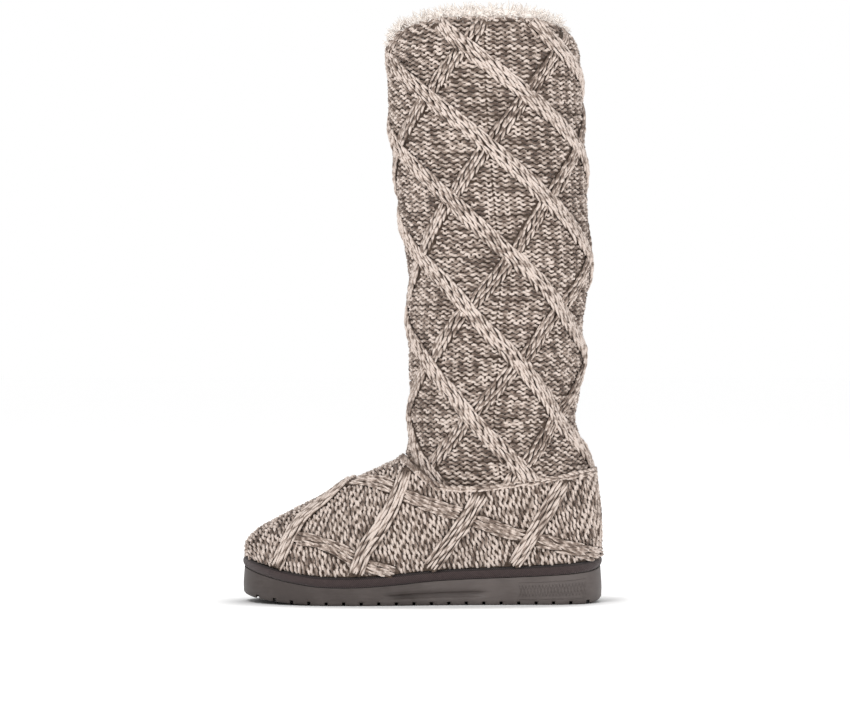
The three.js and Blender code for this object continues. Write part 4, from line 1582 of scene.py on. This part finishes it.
@dataclass
class Sole:
    """Taped platform, rubber outsole and insole."""

    sweep: YarnSweep
    tape: bpy.types.Material
    rubber: bpy.types.Material
    fleece: bpy.types.Material
    columns: int = 220
    platform_rows: int = 9
    outsole_levels: tuple[float, ...] = (
        0, 0.03, 0.07, 0.18, 0.3, 0.33, 0.36, 0.5, 0.53, 0.56, 0.75, 0.9, 0.97, 1)
    channel: tuple[float, float, float] = (-29, 50, 9)
    grooves: int = 20
    first_groove: float = -122.8
    groove_pitch: float = 12.95
    groove_width: float = 2.3
    groove_depth: float = 2.6
    below_tread: float = 5.0
    middle_rib: float = 6.0
    relief_ends: tuple[float, float] = (72.0, 122.0)
    relief_teeth: int = 10
    relief_points: int = 60
    relief_radius: float = 0.3
    upper_inset: float = 2.6
    insole_gap: float = 1.0

    def angles(self) -> Array:
        """Angles of the columns, which lie closer together at the toe and the heel."""
        return np.arange(self.columns) / self.columns * TURN

    def closed(self, name: str, rings: Array) -> bpy.types.Object:
        """Solid through level rings, with flat lids across its first and last ring."""
        rows, columns = rings.shape[:2]
        top = (rows - 1) * columns
        lids = []
        for i in range(columns // 2):
            near, near_next = i, i + 1
            far, far_next = (columns - i) % columns, columns - i - 1
            bottom = list(dict.fromkeys((near, far, far_next, near_next)))
            lid = [top + index for index in dict.fromkeys((near, near_next, far_next, far))]
            lids.extend(face for face in (bottom, lid) if len(face) > 2)
        return linked(name, new_mesh(name, rings, grid_faces(rows, columns) + lids, flat=len(lids)))

    def ring(self, inset: Array, height_at: Callable[[Array], Array]) -> Array:
        """Level ring of the sole."""
        _, x, y = sole_outline(inset).point(self.angles())
        return np.stack([x, y, height_at(x)], axis=-1)

    def platform(self) -> None:
        """Makes the platform wrapped in tape, bulged between its edges."""
        levels = np.linspace(0, 1, self.platform_rows)
        rings = np.stack([
            self.ring(inset, lambda x, level=level: featherline(x) - GAP - PLATFORM_HEIGHT * (1 - level))
            for inset, level in zip(PLATFORM_LEVELS.at("inset", levels), levels)])
        piece = self.closed("platform_tape", rings)
        middle = rings[self.platform_rows // 2]
        around = lengths_along(np.vstack([middle, middle[:1]]))
        layer = piece.data.uv_layers.new(name="UVMap")
        for polygon in piece.data.polygons:
            columns = [index % self.columns for index in polygon.vertices]
            wraps = max(columns) - min(columns) > self.columns / 2
            for corner, column, index in zip(polygon.loop_indices, columns, polygon.vertices):
                length = around[self.columns] if wraps and column == 0 else around[column]
                layer.data[corner].uv = (length, levels[index // self.columns] * PLATFORM_HEIGHT)
        piece.data.materials.append(self.tape)
        register(piece, "twill_tape", "platform")

    def outsole_point(self, angle: Array, level: Array) -> Array:
        """Point on the side of the outsole."""
        start, end, run = self.channel
        inset = OUTSOLE_LEVELS.straight("inset", level)
        rough = sole_outline(inset).point(angle)[1]
        depth = OUTSOLE_LEVELS.straight("channel", level) * smoothstep(rough, start, start + run) * (
            1 - smoothstep(rough, end - run, end))
        _, x, y = sole_outline(inset + depth).point(angle)
        top = featherline(x) - PLATFORM_HEIGHT - 2 * GAP
        return np.stack([x, y, lerp(clearance(x), top, level)], axis=-1)

    def tread_cutter(self) -> bpy.types.Object:
        """Boxes that cut the grooves of the tread, on both sides of its middle rib."""
        points = []
        faces = []
        box = ((3, 2, 1, 0), (4, 5, 6, 7), (0, 1, 5, 4), (1, 2, 6, 5), (2, 3, 7, 6), (3, 0, 4, 7))
        for k in range(self.grooves):
            x = self.first_groove + k * self.groove_pitch
            top = float(clearance(np.array(x))) + self.groove_depth
            for near, far in ((-BALL_WIDTH, -self.middle_rib), (self.middle_rib, BALL_WIDTH)):
                faces.extend([len(points) + index for index in face] for face in box)
                points += [(x + a * self.groove_width / 2, y, z) for z in (-self.below_tread, top)
                           for a, y in ((-1, near), (1, near), (1, far), (-1, far))]
        return linked("tread_cutter", new_mesh("tread_cutter", np.array(points), faces, flat=len(faces)))

    def outsole(self) -> None:
        """Makes the rubber outsole, with grooves cut across its tread."""
        angles = self.angles()
        piece = self.closed("outsole_rubber", np.stack([
            self.outsole_point(angles, np.full(self.columns, level)) for level in self.outsole_levels]))
        cutter = self.tread_cutter()
        cut = piece.modifiers.new("tread", "BOOLEAN")
        cut.operation = "DIFFERENCE"
        cut.solver = "EXACT"
        cut.object = cutter
        grooved = evaluated_mesh(piece)
        piece.modifiers.clear()
        piece.data = grooved
        bpy.data.objects.remove(cutter)
        piece.data.materials.clear()
        piece.data.materials.append(self.rubber)
        register(piece, "outsole_rubber", "outsole")

    def relief(self) -> None:
        """Makes the moulded band of plain chevrons and lines on each side of the heel."""
        strands = Strands()
        corners = 2 * self.relief_teeth + 1
        odd = np.arange(corners) % 2
        line = np.linspace(*self.relief_ends, self.relief_points)
        zigzag = np.linspace(*self.relief_ends, 4 * corners - 3)
        strips = [(line, np.full(self.relief_points, level)) for level in (0.2, 0.8)]
        strips += [
            (zigzag, np.interp(zigzag, np.linspace(*self.relief_ends, corners), np.where(odd, high, low)))
            for low, high in ((0.3, 0.7), (0.7, 0.3))]
        for side in Side:
            for x, level in strips:
                share = (x + SOLE_LENGTH / 2) / SOLE_LENGTH
                angle = -side.value * np.arccos(1 - 2 * share) % TURN
                strands.add(self.outsole_point(angle, level), 1.0, 0.5)
        self.sweep.make("heel_relief", strands, self.relief_radius, self.rubber, 4, "outsole_rubber")

    def insole(self) -> None:
        """Makes the fleece insole inside the upper."""
        inset = self.upper_inset + WALL + self.insole_gap
        rings = [
            self.ring(inset + edge, lambda x, rise=level * INSOLE_THICKNESS: (
                featherline(x) + GAP * 0.2 + rise))
            for level, edge in INSOLE_LEVELS.rows]
        piece = self.closed("insole_fleece", np.stack(rings))
        piece.data.materials.append(self.fleece)
        register(piece, "fleece", "insole")

    def build(self) -> None:
        """Makes the platform, the outsole with its relief, and the insole."""
        self.platform()
        self.outsole()
        self.relief()
        self.insole()


@dataclass(frozen=True)
class Lamp:
    """Square soft light, in metres and watts."""

    name: str
    place: tuple[float, float, float]
    size: float
    power: float


@dataclass
class Studio:
    """White floor and background, soft lights and the camera at the photograph's angle, in metres."""

    camera_x: float = 0.002
    camera_height: float = 0.1814
    distance: float = 2.4
    lens: float = 134.8
    ambient: float = 0.55
    floor_half: float = 30.0
    floor_grey: float = 0.86
    floor_glow: float = 0.52
    footprint: tuple[float, float] = (0.15, 0.075)
    painted_shadow_edge: tuple[float, float] = (0.9, 1.25)
    aim: tuple[float, float, float] = (0, 0, 0.2)
    lamps: tuple[Lamp, ...] = (
        Lamp("key", (-0.7, -1.3, 1.8), 0.6, 20),
        Lamp("fill", (1.3, -1.5, 0.7), 1.0, 7),
        Lamp("back", (0.6, 1.6, 1.3), 1.2, 12),
    )

    def light(self, lamp: Lamp) -> None:
        """Adds a light that faces the boot."""
        data = bpy.data.lights.new(lamp.name, "AREA")
        data.size = lamp.size
        data.energy = lamp.power
        holder = linked(lamp.name, data)
        holder.location = lamp.place
        holder.rotation_euler = (Vector(self.aim) - Vector(lamp.place)).to_track_quat("-Z", "Y").to_euler()

    def floor(self) -> None:
        """Adds the white floor, which glows a little except under the boot; the fade paints a soft contact
        shadow.
        """
        corners = np.array([(-1, -1, 0), (1, -1, 0), (1, 1, 0), (-1, 1, 0)]) * self.floor_half / MM
        piece = linked("floor", new_mesh("floor", corners, [(0, 1, 2, 3)], flat=1))
        shader = Shader("floor white", roughness=0.9, sheen=0.0, specular=0.1)
        # Painted shadow: the glow fades out over a band round the footprint, a soft contact shadow; under
        # the boot only the real light remains.
        footprint = shader.node("ShaderNodeMapping", {
            "Vector": shader.place, "Scale": (1 / self.footprint[0], 1 / self.footprint[1], 1)})
        reach = shader.node("ShaderNodeVectorMath", {0: footprint.outputs[0]}, operation="LENGTH")
        glow = shader.node("ShaderNodeMapRange", {
            "Value": reach.outputs["Value"], "From Min": self.painted_shadow_edge[0],
            "From Max": self.painted_shadow_edge[1], "To Max": self.floor_glow})
        shader.cover({"Emission Color": (1, 1, 1, 1), "Emission Strength": glow.outputs["Result"]})
        piece.data.materials.append(shader.finish((self.floor_grey, self.floor_grey, self.floor_grey, 1)))
        piece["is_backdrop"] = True

    def background(self) -> None:
        """Sets a white background that lights the boot a little less than it shows."""
        world = bpy.data.worlds.new("studio")
        world.use_nodes = True
        nodes = Nodes(world.node_tree)
        seen = nodes.tree.nodes["Background"]
        for socket, value in zip(seen.inputs, ((1, 1, 1, 1), 1.0)):
            nodes.feed(socket, value)
        lighting = nodes.node("ShaderNodeBackground", {"Color": (1, 1, 1, 1), "Strength": self.ambient})
        rays = nodes.node("ShaderNodeLightPath")
        mix = nodes.node("ShaderNodeMixShader", {
            0: rays.outputs["Is Camera Ray"], 1: lighting.outputs[0], 2: seen.outputs[0]})
        nodes.feed(nodes.tree.nodes["World Output"].inputs[0], mix.outputs[0])
        bpy.context.scene.world = world

    def build(self) -> None:
        """Sets up camera, floor, background and lights."""
        lens = bpy.data.cameras.new("camera")
        lens.lens = self.lens
        lens.sensor_width = 36
        lens.clip_end = 100
        camera = linked("camera", lens)
        camera.location = (self.camera_x, -self.distance, self.camera_height)
        camera.rotation_euler = (math.pi / 2, 0, 0)
        scene = bpy.context.scene
        scene.camera = camera
        scene.view_settings.view_transform = "Standard"
        scene.view_settings.look = "None"
        self.floor()
        self.background()
        for lamp in self.lamps:
            self.light(lamp)


def main() -> None:
    """Builds the studio and the boot's sub-assemblies in order."""
    logging.basicConfig(level=logging.INFO, format="%(name)s: %(message)s")
    Studio().build()
    sweep = YarnSweep()
    fleece = FleeceFinish("fleece").material()
    # depth is the painted-shade material: a dark colour that stands for the shade between stitches.
    depth = PaintedShadeFinish("knit painted shade").material()
    rubber = RubberFinish("outsole rubber").material()
    tape = TapeFinish("twill tape").material()
    Sole(sweep, tape, rubber, fleece).build()
    Backing(depth, fleece).build()
    ShaftKnit(sweep, YarnFinish("shaft yarn", turn=0.0).material()).build()
    # The cable and foot yarns are lifted towards cream by light: painted light on copies of the shaft
    # yarn.
    ShaftCables(sweep, YarnFinish("cable yarn", turn=0.0, light=0.02).material()).build()
    foot_yarn = YarnFinish("foot yarn", turn=RIDGE_LEAN, light=0.09).material()
    FootKnit(sweep, foot_yarn, depth).build()
    # The collar pile glows a little: painted light.
    FurCollar(FleeceFinish("collar pile", glow=0.1).material()).build()
    total = sum(triangles(piece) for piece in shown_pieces() if piece.type == "MESH")
    log.info("%d triangles in all before modifiers", total)


if __name__ == "__main__":
    main()
